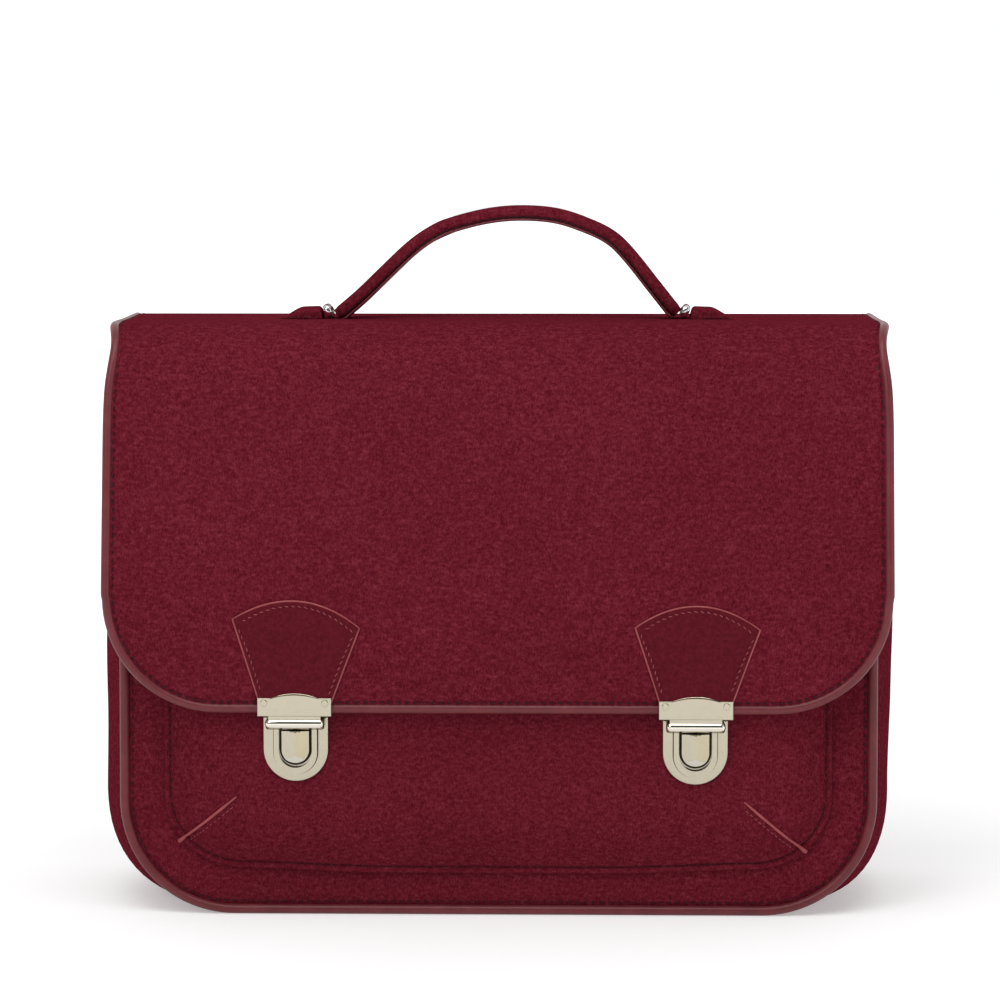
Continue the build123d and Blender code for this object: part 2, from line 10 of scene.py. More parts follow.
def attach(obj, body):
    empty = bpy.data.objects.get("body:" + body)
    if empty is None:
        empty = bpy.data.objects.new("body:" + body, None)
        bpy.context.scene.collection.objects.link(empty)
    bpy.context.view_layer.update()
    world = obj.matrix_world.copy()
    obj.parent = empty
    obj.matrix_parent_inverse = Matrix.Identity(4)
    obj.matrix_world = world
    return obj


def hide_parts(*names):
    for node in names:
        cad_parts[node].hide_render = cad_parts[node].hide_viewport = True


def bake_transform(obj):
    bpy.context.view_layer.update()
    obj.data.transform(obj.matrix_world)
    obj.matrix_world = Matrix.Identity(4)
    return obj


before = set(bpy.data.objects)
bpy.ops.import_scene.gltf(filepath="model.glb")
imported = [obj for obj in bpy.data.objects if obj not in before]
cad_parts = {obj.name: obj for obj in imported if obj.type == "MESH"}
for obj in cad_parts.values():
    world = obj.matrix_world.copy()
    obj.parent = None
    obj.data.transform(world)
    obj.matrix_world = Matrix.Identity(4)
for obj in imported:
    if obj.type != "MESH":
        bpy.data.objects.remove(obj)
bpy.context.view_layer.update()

MM = 0.001  # the sizes below are in millimetres

# ---- sizes, as in the frame ---------------------------------------------------------------
FELT = 3.0
SEAM_HALF_WIDTH = 174.2
SEAM_RADIUS = 51.0
PIPING = 2.25
FRONT_Y = -54.0
BACK_Y = 54.0
FRONT_LEAN = math.tan(radians(2.4))
BACK_LEAN = math.tan(radians(1.5))
MOUTH = 252.0
FLAP_HALF_WIDTH = 181.3
FLAP_BOTTOM = 97.4
FLAP_RADIUS = 53.0
POCKET_HALF_WIDTH = 155.5
POCKET_BOTTOM = 19.9
POCKET_RADIUS = 36.0
POCKET_TOP = 148.0
POCKET_FACE_Y = -68.0
LOCK_X = {"left": -92.8, "right": 91.3}
LOCK_Z = {"left": 65.0, "right": 64.0}
TAB_TILT = {"left": radians(4.0), "right": radians(1.0)}
HANDLE_Y = 6.0
HANDLE_HALF_WIDTH = 9.0
HANDLE_LINE = [(-77.4, 277.2), (-74.0, 279.8), (-65.2, 287.4), (-54.3, 297.9),
               (-42.0, 309.4), (-31.8, 316.5), (-22.9, 320.3), (-6.0, 324.5), (9.8, 325.9),
               (26.4, 324.6), (41.0, 320.0), (52.3, 314.4), (60.8, 306.4), (72.4, 292.0),
               (81.0, 281.2), (83.8, 278.1)]
RING = {"left": (-82.1, 279.5, -1), "right": (87.9, 279.5, 1)}
RING_LEAN = radians(25)
RING_REACH = 1.8
SIDES = ("left", "right")


# ---- mesh helpers -------------------------------------------------------------------------
def new_object(name, verts, faces, material, body=None):
    """A smooth-shaded closed mesh from millimetre points, with its normals outwards."""
    mesh = bpy.data.meshes.new(name)
    mesh.from_pydata([tuple(float(c) * MM for c in v) for v in verts], [], faces)
    work = bmesh.new()
    work.from_mesh(mesh)
    bmesh.ops.remove_doubles(work, verts=work.verts, dist=1e-7)
    bmesh.ops.recalc_face_normals(work, faces=work.faces)
    work.to_mesh(mesh)
    work.free()
    mesh.shade_smooth()
    mesh.set_sharp_from_angle(angle=radians(50))
    piece = bpy.data.objects.new(name, mesh)
    bpy.context.collection.objects.link(piece)
    mesh.materials.append(material)
    if body:
        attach(piece, body)
    return piece


def shell_faces(rows, columns):
    """Quads of a front grid, a back grid and the rim that joins them."""
    def front(i, j):
        return i * columns + j

    def back(i, j):
        return rows * columns + i * columns + j

    faces = []
    for i in range(rows - 1):
        for j in range(columns - 1):
            faces.append((front(i, j), front(i + 1, j), front(i + 1, j + 1), front(i, j + 1)))
            faces.append((back(i, j), back(i, j + 1), back(i + 1, j + 1), back(i + 1, j)))
    border = [(0, j) for j in range(columns)] + [(i, columns - 1) for i in range(1, rows)]
    border += [(rows - 1, j) for j in range(columns - 2, -1, -1)]
    border += [(i, 0) for i in range(rows - 2, 0, -1)]
    for k, here in enumerate(border):
        after = border[(k + 1) % len(border)]
        faces.append((front(*here), front(*after), back(*after), back(*here)))
    return faces


def shell(name, front, back, material, body=None):
    """A closed layer between two grids of the same shape."""
    rows, columns, _ = front.shape
    verts = np.concatenate([front.reshape(-1, 3), back.reshape(-1, 3)])
    return new_object(name, verts, shell_faces(rows, columns), material, body)


def unit(vectors):
    """Vectors of length 1 in the same directions."""
    return vectors / np.linalg.norm(vectors, axis=-1, keepdims=True)


def headings(path):
    """Unit direction at each point of a path."""
    return unit(np.gradient(path, axis=0))


def frames_along(path, up=(0.0, 1.0, 0.0)):
    """Two cross directions that turn as little as possible along a path."""
    tangents = headings(path)
    side = np.cross(up, tangents[0])
    if np.linalg.norm(side) < 0.1:
        side = np.cross((1.0, 0.0, 0.0), tangents[0])
    sides = []
    for tangent in tangents:
        side = unit(side - tangent * np.dot(side, tangent))
        sides.append(side)
    return np.array(sides), np.cross(tangents, sides)


def sweep(name, path, section, material, body=None, directions=None):
    """Sweeps a closed section, points (a, b), along a path, with flat caps."""
    path = np.array(path, float)
    first, second = directions or frames_along(path)
    sections = section if callable(section) else lambda share: section
    count = len(path)
    rings = []
    for k in range(count):
        outline = np.array(sections(k / (count - 1)), float)
        rings.append(path[k] + outline[:, :1] * first[k] + outline[:, 1:] * second[k])
    size = len(rings[0])
    faces = [tuple(range(size - 1, -1, -1)), tuple((count - 1) * size + j for j in range(size))]
    for k in range(count - 1):
        for j in range(size):
            after = (j + 1) % size
            faces.append((k * size + j, k * size + after, (k + 1) * size + after,
                          (k + 1) * size + j))
    return new_object(name, np.concatenate(rings), faces, material, body)


def hoop(name, rings, material, body):
    """Joins rings of points into a closed loop."""
    rings = np.array(rings)
    count, size, _ = rings.shape
    faces = [(k * size + j, k * size + (j + 1) % size, (k + 1) % count * size + (j + 1) % size,
              (k + 1) % count * size + j) for k in range(count) for j in range(size)]
    return new_object(name, rings.reshape(-1, 3), faces, material, body)


def circle(radius, count=12, squash=1.0):
    return [(radius * cos(2 * pi * k / count), radius * squash * sin(2 * pi * k / count))
            for k in range(count)]


def superellipse(half_a, half_b, power=3.0, count=28):
    """A rounded box section, as on a padded strap."""
    points = []
    for k in range(count):
        angle = 2 * pi * k / count
        c, s = cos(angle), sin(angle)
        points.append((half_a * math.copysign(abs(c) ** (2 / power), c),
                       half_b * math.copysign(abs(s) ** (2 / power), s)))
    return points


def distance_along(path):
    """How far along a polyline each of its points lies."""
    steps = np.linalg.norm(np.diff(path, axis=0), axis=1)
    return np.concatenate([[0], np.cumsum(steps)])


def resample(path, spacing):
    """Evenly spaced points along a polyline."""
    path = np.array(path, float)
    reach = distance_along(path)
    count = max(2, int(round(reach[-1] / spacing)) + 1)
    where = np.linspace(0, reach[-1], count)
    return np.stack([np.interp(where, reach, path[:, k]) for k in range(path.shape[1])], axis=1)


def smooth_curve(points, per_span=16):
    """A Catmull-Rom curve through the points."""
    points = [np.array(p, float) for p in points]
    points = [2 * points[0] - points[1]] + points + [2 * points[-1] - points[-2]]
    curve = []
    for a, b, c, d in zip(points, points[1:], points[2:], points[3:]):
        for k in range(per_span):
            t = k / per_span
            curve.append(0.5 * (2 * b + (c - a) * t + (2 * a - 5 * b + 4 * c - d) * t * t
                                + (3 * b - a - 3 * c + d) * t ** 3))
    curve.append(points[-2])
    return np.array(curve)


def stitches(name, path, pitch, length, radius, material, body=None, out=(0.0, -1.0, 0.0),
             slant=0.0):
    """Single thread stitches along a path, each a small rounded grain."""
    points = resample(path, pitch / 2)
    tangents = headings(points)
    normals = np.array(out, float)
    if normals.ndim == 2:
        where = np.linspace(0, 1, len(points))
        source = np.linspace(0, 1, len(normals))
        normals = np.stack([np.interp(where, source, normals[:, k]) for k in range(3)], axis=1)
    rings, sides = 5, 6
    verts, faces = [], []
    for k in range(1, len(points) - 1, 2):
        normal = normals if normals.ndim == 1 else normals[k]
        tangent = tangents[k]
        tangent = unit(tangent + slant * unit(np.cross(normal, tangent)))
        across = np.cross(normal, tangent)
        base = len(verts)
        for r in range(rings + 1):
            angle = pi * r / rings
            along = -cos(angle) * length / 2
            swell = sin(angle) ** 0.6 * radius if 0 < r < rings else 0.02
            for s in range(sides):
                turn = 2 * pi * s / sides
                verts.append(points[k] + tangent * along + across * swell * cos(turn)
                             + np.cross(tangent, across) * swell * sin(turn))
        for r in range(rings):
            for s in range(sides):
                after = (s + 1) % sides
                faces.append((base + r * sides + s, base + r * sides + after,
                              base + (r + 1) * sides + after, base + (r + 1) * sides + s))
        faces.append(tuple(base + s for s in range(sides - 1, -1, -1)))
        faces.append(tuple(base + rings * sides + s for s in range(sides)))
    return new_object(name, verts, faces, material, body)


def ripple(x, y, z, scale, amount):
    """A repeatable soft unevenness, in millimetres."""
    return amount * noise.noise(Vector((x / scale, y / scale, z / scale)))


def ripple_grid(grid, scale, amount):
    flat = [ripple(*p, scale, amount) for p in grid.reshape(-1, 3)]
    return np.array(flat).reshape(grid.shape[:2])


def smoothstep(value, low, high):
    t = np.clip((value - low) / (high - low), 0, 1)
    return t * t * (3 - 2 * t)


# ---- outlines -----------------------------------------------------------------------------
def wall_rows(bottom, top, radius, step=5.0, corner_steps=24):
    """Heights up a wall: dense through its rounded bottom corners, even above them."""
    corner = [bottom + radius * (1 - cos(pi / 2 * k / corner_steps))
              for k in range(corner_steps + 1)]
    count = max(2, int((top - corner[-1]) / step))
    return np.array(corner + list(np.linspace(corner[-1], top, count + 1)[1:]))


def half_width_at(z, half, bottom, radius):
    """Half-width of an outline with two rounded bottom corners."""
    drop = np.clip((bottom + radius - z) / radius, 0, 1)
    return half - radius + radius * np.sqrt(1 - drop ** 2)


def edge_distance(x, z, half, bottom, radius):
    """Distance in from that outline."""
    side, low = half - np.abs(x), z - bottom
    corner = radius - np.hypot(np.abs(x) - (half - radius), z - (bottom + radius))
    in_corner = (side < radius) & (low < radius)
    return np.where(in_corner, corner, np.minimum(side, low))


def spread(count, crowd=1.6):
    """Positions from -1 to 1, crowded towards both ends."""
    t = np.linspace(-1, 1, count)
    return np.sign(t) * (1 - (1 - np.abs(t)) ** crowd)


def wall_grid(half, bottom, top, radius, columns, step=5.0, corner_steps=24, crowd=1.6):
    """X and Z of a grid that fills such an outline."""
    z = wall_rows(bottom, top, radius, step, corner_steps)
    width = half_width_at(z, half, bottom, radius)
    x = width[:, None] * spread(columns, crowd)[None, :]
    return x, np.repeat(z[:, None], columns, axis=1)


def u_path(half, bottom, top, radius, spacing=2.5):
    """Down the left side, round two corners and up the right side, as (x, z)."""
    points = [(-half, top), (-half, bottom + radius)]
    for k in range(1, 25):
        angle = pi / 2 * k / 24
        points.append((-half + radius * (1 - cos(angle)), bottom + radius * (1 - sin(angle))))
    points += [(-x, z) for x, z in reversed(points)]
    return resample(points, spacing)


def front_face(z):
    return FRONT_Y - FELT + z * FRONT_LEAN


def back_face(z):
    return BACK_Y + FELT - z * BACK_LEAN


# ---- materials ----------------------------------------------------------------------------
class Tree:
    """Short calls for the nodes that the materials and the world are made of."""

    def __init__(self, tree):
        self.nodes, self.link = tree.nodes, tree.links.new

    def add(self, kind, inputs):
        node = self.nodes.new("ShaderNode" + kind)
        for name, value in inputs.items():
            node.inputs[name].default_value = value
        return node

    def noise(self, place, scale, detail, rough, stretch=None, turn=(0, 0, 0)):
        """A noise texture, optionally stretched along one direction."""
        texture = self.add("TexNoise", {"Scale": scale, "Detail": detail, "Roughness": rough})
        if stretch:
            mapping = self.add("Mapping", {"Scale": stretch, "Rotation": turn})
            self.link(place, mapping.inputs["Vector"])
            place = mapping.outputs["Vector"]
        self.link(place, texture.inputs["Vector"])
        return texture.outputs["Fac"]

    def ramp(self, value, stops):
        """A colour ramp through (position, colour) stops."""
        ramp = self.add("ValToRGB", {})
        elements = ramp.color_ramp.elements
        while len(elements) < len(stops):
            elements.new(0.5)
        for element, (position, colour) in zip(elements, stops):
            element.position = position
            element.color = (*colour, 1)
        self.link(value, ramp.inputs["Fac"])
        return ramp.outputs["Color"]

    def mix(self, share, first, second, kind="MIX"):
        mix = self.add("Mix", {})
        mix.data_type = "RGBA"
        mix.blend_type = kind
        mix.inputs["Factor"].default_value = share
        self.link(first, mix.inputs["A"])
        self.link(second, mix.inputs["B"])
        return mix.outputs["Result"]

    def span(self, value, low, high, start=0.0, end=1.0):
        """Maps a value from start..end to low..high."""
        node = self.add("MapRange", {"From Min": start, "From Max": end, "To Min": low,
                                     "To Max": high})
        self.link(value, node.inputs["Value"])
        return node.outputs["Result"]

    def bump(self, shader, layers):
        """Bump layers (height, strength, distance in metres), the last one on top."""
        normal = None
        for height, strength, distance in layers:
            bump = self.add("Bump", {"Strength": strength, "Distance": distance})
            self.link(height, bump.inputs["Height"])
            if normal:
                self.link(normal, bump.inputs["Normal"])
            normal = bump.outputs["Normal"]
        self.link(normal, shader.inputs["Normal"])


def new_material(name):
    material = bpy.data.materials.new(name)
    material.use_nodes = True
    tree = Tree(material.node_tree)
    place = tree.add("TexCoord", {}).outputs["Object"]
    return material, tree, tree.nodes["Principled BSDF"], place


def make_felt(name, dark, middle, light):
    """Wool felt: heathered fibres in three shades under a fine nap."""
    material, tree, shader, place = new_material(name)
    fibres = tree.noise(place, 1500, 4, 0.8, (1.0, 1.0, 0.4), (0, 0.6, 0))
    clumps = tree.noise(place, 620, 4, 0.75, (0.6, 1.0, 1.0), (0, -0.7, 0))
    cloud = tree.noise(place, 14, 2, 0.5)
    heather = tree.ramp(fibres, [(0.36, dark), (0.5, middle), (0.66, light)])
    patches = tree.ramp(clumps, [(0.34, dark), (0.5, middle), (0.68, light)])
    mixed = tree.mix(0.5, heather, patches)
    shade = tree.ramp(cloud, [(0.3, (0.9, 0.88, 0.89)), (0.7, (1.0, 1.0, 1.0))])
    tree.link(tree.mix(1.0, mixed, shade, "MULTIPLY"), shader.inputs["Base Color"])
    tree.link(tree.span(clumps, 0.88, 1.0), shader.inputs["Roughness"])
    shader.inputs["Specular IOR Level"].default_value = 0.0
    tree.bump(shader, [(clumps, 0.4, 0.0004), (fibres, 0.5, 0.0002)])
    return material


def make_leather(name, dark, light, roughness=0.36, polish=0.3, mottle=90):
    """Smooth leather: fine pebbled grain, uneven dye and a soft polish."""
    material, tree, shader, place = new_material(name)
    dye = tree.noise(place, mottle, 4, 0.7)
    cloud = tree.noise(place, 1400, 2, 0.5)
    grain = tree.add("TexVoronoi", {"Scale": 1500})
    tree.link(place, grain.inputs["Vector"])
    tree.link(tree.ramp(dye, [(0.3, dark), (0.7, light)]), shader.inputs["Base Color"])
    tree.link(tree.span(dye, roughness - 0.08, roughness + 0.12), shader.inputs["Roughness"])
    shader.inputs["Specular IOR Level"].default_value = polish
    tree.bump(shader, [(grain.outputs["Distance"], 0.25, 0.00012), (cloud, 0.2, 0.0001)])
    return material


def make_metal(name, colour, roughness):
    """Polished plate with faint handling marks."""
    material, tree, shader, place = new_material(name)
    marks = tree.noise(place, 260, 5, 0.6, (1.0, 1.0, 1.0))
    tone = [c * 0.93 for c in colour]
    tree.link(tree.ramp(marks, [(0.3, tone), (0.7, colour)]), shader.inputs["Base Color"])
    tree.link(tree.span(marks, roughness - 0.03, roughness + 0.06), shader.inputs["Roughness"])
    shader.inputs["Metallic"].default_value = 1.0
    tree.bump(shader, [(marks, 0.06, 0.0001)])
    return material


def make_cloth(name, dark, light, scale=1400):
    """A plain woven lining or thread: two crossing sets of ribs."""
    material, tree, shader, place = new_material(name)
    ribs = []
    for turn in ((0, 0, 0), (0, radians(90), 0)):
        mapping = tree.add("Mapping", {"Rotation": turn})
        tree.link(place, mapping.inputs["Vector"])
        wave = tree.add("TexWave", {"Scale": scale / 6, "Distortion": 0.6})
        tree.link(mapping.outputs["Vector"], wave.inputs["Vector"])
        ribs.append((wave.outputs["Fac"], 0.3, 0.0002))
    cloud = tree.noise(place, 40, 3, 0.6)
    tree.link(tree.ramp(cloud, [(0.3, dark), (0.7, light)]), shader.inputs["Base Color"])
    tree.link(tree.span(cloud, 0.7, 0.9), shader.inputs["Roughness"])
    shader.inputs["Specular IOR Level"].default_value = 0.25
    tree.bump(shader, ribs)
    return material


FELT_BODY = make_felt("felt_burgundy", (0.058, 0.004, 0.008), (0.118, 0.009, 0.018),
                      (0.215, 0.032, 0.048))
LEATHER = make_leather("leather_burgundy", (0.115, 0.017, 0.022), (0.165, 0.028, 0.034))
TAB_LEATHER = make_leather("leather_tab", (0.068, 0.004, 0.008), (0.12, 0.010, 0.018), 0.6, 0.04,
                           700)
NICKEL = make_metal("pale_nickel", (0.47, 0.43, 0.335), 0.16)
# painted reflection: a warmer copy of the nickel for the button's right half, standing in for the
# warm light it reflects
NICKEL_PAINTED_REFLECTION = make_metal("nickel_painted_reflection", (0.48, 0.425, 0.30), 0.14)
# painted highlight: a lighter copy of the nickel for the button's downward-facing foot
NICKEL_PAINTED_HIGHLIGHT = make_metal("nickel_painted_highlight", (0.66, 0.64, 0.55), 0.1)
# painted reflection: dark brown for the line under each hasp plate's arched top edge
PAINTED_ARCH_REFLECTION = make_metal("painted_arch_reflection", (0.11, 0.06, 0.03), 0.3)
# painted shade: near-black metal for the shadowed clearance round each button and the shadow along
# the hasp loop's edge
PAINTED_GAP_SHADE = make_metal("painted_gap_shade", (0.035, 0.03, 0.025), 0.4)
CHROME = make_metal("ring_chrome", (0.78, 0.78, 0.78), 0.1)
CHROME_WARM = make_metal("bar_nickel", (0.80, 0.76, 0.66), 0.05)
STEEL = make_metal("spring_wire", (0.55, 0.55, 0.56), 0.3)
LINING = make_cloth("cotton_lining", (0.08, 0.011, 0.019), (0.095, 0.014, 0.023))
BOARD = make_cloth("grey_board", (0.3, 0.24, 0.17), (0.38, 0.31, 0.23), 900)
CORD = make_cloth("filler_cord", (0.03, 0.003, 0.007), (0.05, 0.005, 0.011), 900)
DARK_THREAD = make_cloth("dark_thread", (0.018, 0.002, 0.005), (0.035, 0.004, 0.008), 3000)
PINK_THREAD = make_cloth("pink_thread", (0.22, 0.045, 0.055), (0.30, 0.07, 0.08), 3000)
CUT_EDGE = make_leather("leather_cut_edge", (0.24, 0.04, 0.045), (0.36, 0.075, 0.08), 0.35, 0.3)


# ---- body ---------------------------------------------------------------------------------
def front_panel_y(x, z):
    """The felt tucks in under the piping and swells a little between the seams."""
    inward = edge_distance(x, z, SEAM_HALF_WIDTH, PIPING, SEAM_RADIUS)
    return front_face(z) + 1.6 * (1 - smoothstep(inward, 0.5, 7)) - 0.9 * smoothstep(inward, 6, 30)


def make_front_panel():
    x, z = wall_grid(SEAM_HALF_WIDTH, PIPING, MOUTH, SEAM_RADIUS, 97)
    front = np.stack([x, front_panel_y(x, z), z], axis=2)
    front[:, :, 1] += ripple_grid(front, 60, 0.5) * smoothstep(
        edge_distance(x, z, SEAM_HALF_WIDTH, PIPING, SEAM_RADIUS), 2, 20)
    back = front.copy()
    back[:, :, 1] = FRONT_Y + z * FRONT_LEAN
    piece = shell("front_felt", front, back, FELT_BODY, "body")
    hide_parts("front_panel")


def make_back_panel():
    x, z = wall_grid(SEAM_HALF_WIDTH, PIPING, 262.0, SEAM_RADIUS, 97)
    inward = edge_distance(x, z, SEAM_HALF_WIDTH, PIPING, SEAM_RADIUS)
    y = back_face(z) - 1.6 * (1 - smoothstep(inward, 0.5, 7)) + 0.9 * smoothstep(inward, 6, 40)
    y -= 0.9 * smoothstep(z, 215, 236)
    back = np.stack([x, y, z], axis=2)
    back[:, :, 1] += ripple_grid(back, 70, 0.6) * smoothstep(inward, 2, 20) * (
        1 - smoothstep(z, 205, 232))
    inner = back.copy()
    inner[:, :, 1] = BACK_Y - z * BACK_LEAN
    piece = shell("back_felt", back, inner, FELT_BODY, "body")
    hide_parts("back_panel")


def gusset_grid(inset, top, columns=25):
    """The bulging side and base wall; inset moves it inwards."""
    seam = u_path(SEAM_HALF_WIDTH, PIPING, top, SEAM_RADIUS, 4.0)
    steps = headings(seam)
    outward = np.stack([steps[:, 1], -steps[:, 0]], axis=1)
    across = np.linspace(0, 1, columns)
    crown = 1 - np.abs(2 * across - 1) ** 2.4
    angle = np.arctan2(np.abs(outward[:, 0]), -outward[:, 1])  # 0 under the bag, 90 at the side
    swell = 1.6 + 12.2 * np.sin(np.clip(angle, 0, pi / 2)) ** 1.3
    swell += 4.0 * np.sin(2 * np.clip(angle, 0, pi / 2)) ** 2
    swell *= 1 - 0.42 * smoothstep(seam[:, 1], 120, 262)
    swell -= 2.6 * (seam[:, 0] > 0) * np.exp(-((seam[:, 1] - 60) / 36) ** 2)
    grid = np.zeros((len(seam), columns, 3))
    for i, ((x, z), (nx, nz)) in enumerate(zip(seam, outward)):
        reach = swell[i] * crown - inset
        zz = z + nz * reach
        front, back = FRONT_Y + zz * FRONT_LEAN, BACK_Y - zz * BACK_LEAN
        grid[i, :, 0] = x + nx * reach
        grid[i, :, 1] = front + (back - front) * across
        grid[i, :, 2] = zz
    fade = np.sin(pi * across)[None, :]
    grid[:, :, 0] += np.sign(grid[:, :, 0]) * ripple_grid(grid, 45, 1.3) * fade * (
        smoothstep(np.abs(grid[:, :, 0]), 120, 170))
    floor = max(0.0, inset)
    grid[:, :, 2] = np.maximum(grid[:, :, 2], floor + 0.02)
    return grid


def make_gusset():
    outer = gusset_grid(0.0, MOUTH)
    inner = gusset_grid(2.8, MOUTH)
    piece = shell("gusset_felt", outer, inner, FELT_BODY, "body")
    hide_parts("gusset")
    trim = slice(1, -1)
    cloth = shell("gusset_cloth", gusset_grid(3.1, MOUTH)[:, trim],
                  gusset_grid(4.0, MOUTH)[:, trim], LINING, "body")
    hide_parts("gusset_lining")


def make_inner_walls():
    """Cotton linings on the inside of the front and back walls."""
    for name, node, wall, top in (("front_cloth", "front_lining", 1, MOUTH),
                                  ("back_cloth", "back_lining", -1, MOUTH + 8)):
        inset = 3.4
        x, z = wall_grid(SEAM_HALF_WIDTH - inset, PIPING + inset, top, SEAM_RADIUS - inset, 61)
        plane = FRONT_Y + z * FRONT_LEAN if wall > 0 else BACK_Y - z * BACK_LEAN
        outer = np.stack([x, plane + wall * 1.8, z], axis=2)
        inner = outer.copy()
        inward = edge_distance(x, z, SEAM_HALF_WIDTH - inset, PIPING + inset, SEAM_RADIUS - inset)
        slack = (0.3 + np.abs(ripple_grid(outer, 50, 1.2))) * smoothstep(inward, 1, 25)
        slack *= 1 - smoothstep(z, 235, 250)
        inner[:, :, 1] += wall * (0.9 + slack)
        piece = shell(name, inner, outer, LINING, "body")
        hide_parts(node)


def make_body_piping():
    """Leather cord in the front and back seams, with its dark stitch line beside it."""
    for name, node, side, top in (("front_cord", "front_piping", 1, MOUTH),
                                  ("back_cord", "back_piping", -1, 236.0)):
        flat = u_path(SEAM_HALF_WIDTH, PIPING + 0.02, top, SEAM_RADIUS, 3.0)
        y = front_face(flat[:, 1]) + 1.0 if side > 0 else back_face(flat[:, 1]) - 1.0
        path = np.stack([flat[:, 0], y, flat[:, 1]], axis=1)
        piece = sweep(name, path, circle(PIPING, 14), LEATHER, "body")
        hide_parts(node)
        inset = PIPING + 1.6
        flat = u_path(SEAM_HALF_WIDTH - inset, PIPING + inset, top - 2, SEAM_RADIUS - inset, 2.0)
        if side > 0:
            y = front_panel_y(flat[:, 0], flat[:, 1]) - 0.15
        else:
            y = back_face(flat[:, 1]) - 0.9
        path = np.stack([flat[:, 0], y, flat[:, 1]], axis=1)
        seam = stitches(name + "_stitches", path, 3.9, 2.5, 0.36, DARK_THREAD, "body",
                        out=(0.0, -float(side), 0.0))


def make_mouth_binding():
    """Folded leather over the three free edges of the mouth."""
    front, back = front_face(MOUTH) + 2.6, BACK_Y - MOUTH * BACK_LEAN - 0.6
    half, bulge = SEAM_HALF_WIDTH - 2.2, SEAM_HALF_WIDTH + 4.6
    corner = [(-half, back), (-bulge, (front + back) / 2), (-half - 1.0, front + 7),
              (-half + 2.0, front + 1.2), (-half + 8, front)]
    side = smooth_curve(corner, 12)
    plan = np.concatenate([side, side[::-1] * np.array([-1, 1])])
    plan = resample(plan, 3.0)
    path = np.column_stack([plan, np.full(len(plan), MOUTH + 0.6)])
    piece = sweep("mouth_edge", path, superellipse(2.7, 4.4, 3.0, 16), LEATHER, "body")
    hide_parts("mouth_binding")
    line = path + np.array([0, -2.75, -2.4])
    middle = np.abs(path[:, 0]) < half - 10
    seam = stitches("mouth_stitches", line[middle], 3.4, 2.3, 0.35, PINK_THREAD, "body")


# ---- pocket -------------------------------------------------------------------------------
def pocket_y(x, z):
    """The pocket's front: a stitched hem, then walls that rise to a flat face, with a dart
    folded across each bottom corner."""
    rounded = edge_distance(x, z, POCKET_HALF_WIDTH, POCKET_BOTTOM, POCKET_RADIUS)
    mitred = np.minimum(POCKET_HALF_WIDTH - np.abs(x), (z - POCKET_BOTTOM) * 1.12)
    inward = rounded + (mitred - rounded) * smoothstep(rounded, 5, 16)
    depth = front_face(z) - POCKET_FACE_Y
    hem = 2.3 * np.sqrt(np.clip(1 - (1 - np.clip(rounded / 1.0, 0, 1)) ** 2, 0, 1))
    groove = 0.9 * np.exp(-((rounded - 3.2) / 0.7) ** 2)
    rise = np.sin(pi / 2 * np.clip((inward - 3.4) / 29, 0, 1)) ** 0.9
    return front_face(z) - 0.9 - hem + groove - (depth - 3.2) * rise


def pocket_rise(x, z):
    """The pocket's lower edge climbs a little towards its corners."""
    return 2.4 * smoothstep(np.abs(x), 50, 130) * (1 - smoothstep(z, 30, 70))


def lock_recess(x, z):
    """How far the felt is cut back for each lock's cup, under its plate."""
    depth = np.zeros_like(x)
    for side in SIDES:
        aside, above = np.abs(x - LOCK_X[side]), np.abs(z - LOCK_Z[side] - 16.3)
        depth += 3.2 * (1 - smoothstep(aside, 9.0, 12.5)) * (1 - smoothstep(above, 9.5, 13.0))
    return depth


def make_pocket():
    x, z = wall_grid(POCKET_HALF_WIDTH, POCKET_BOTTOM, POCKET_TOP, POCKET_RADIUS, 161, 3.5, 56,
                     2.0)
    front = np.stack([x, pocket_y(x, z), z + pocket_rise(x, z)], axis=2)
    rounded = edge_distance(x, z, POCKET_HALF_WIDTH, POCKET_BOTTOM, POCKET_RADIUS)
    front[:, :, 1] += ripple_grid(front, 38, 0.7) * smoothstep(rounded, 6, 22) * (
        1 - smoothstep(z, 55, 75))
    front[:, :, 1] += lock_recess(x, z)
    back = front.copy()
    back[:, :, 1] = np.minimum(front[:, :, 1] + 2.6, front_panel_y(x, z) - 0.1)
    piece = shell("pocket_felt", front, back, FELT_BODY, "body")
    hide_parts("pocket_panel")

    inset = 3.2
    flat = u_path(POCKET_HALF_WIDTH - inset, POCKET_BOTTOM + inset, POCKET_TOP - 2,
                  POCKET_RADIUS - inset, 2.0)
    x, z = flat[:, 0], flat[:, 1]
    path = np.column_stack([x, pocket_y(x, z) - 0.1, z + pocket_rise(x, z)])
    seam = stitches("pocket_stitches", path, 3.7, 2.5, 0.36, DARK_THREAD, "body")

    top = [(x_top, POCKET_FACE_Y + 1.3, POCKET_TOP + 0.4)
           for x_top in np.linspace(-POCKET_HALF_WIDTH + 29, POCKET_HALF_WIDTH - 29, 60)]
    edge = sweep("pocket_edge", top, superellipse(2.1, 2.3, 3.0, 14), LEATHER, "body")
    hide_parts("pocket_binding")


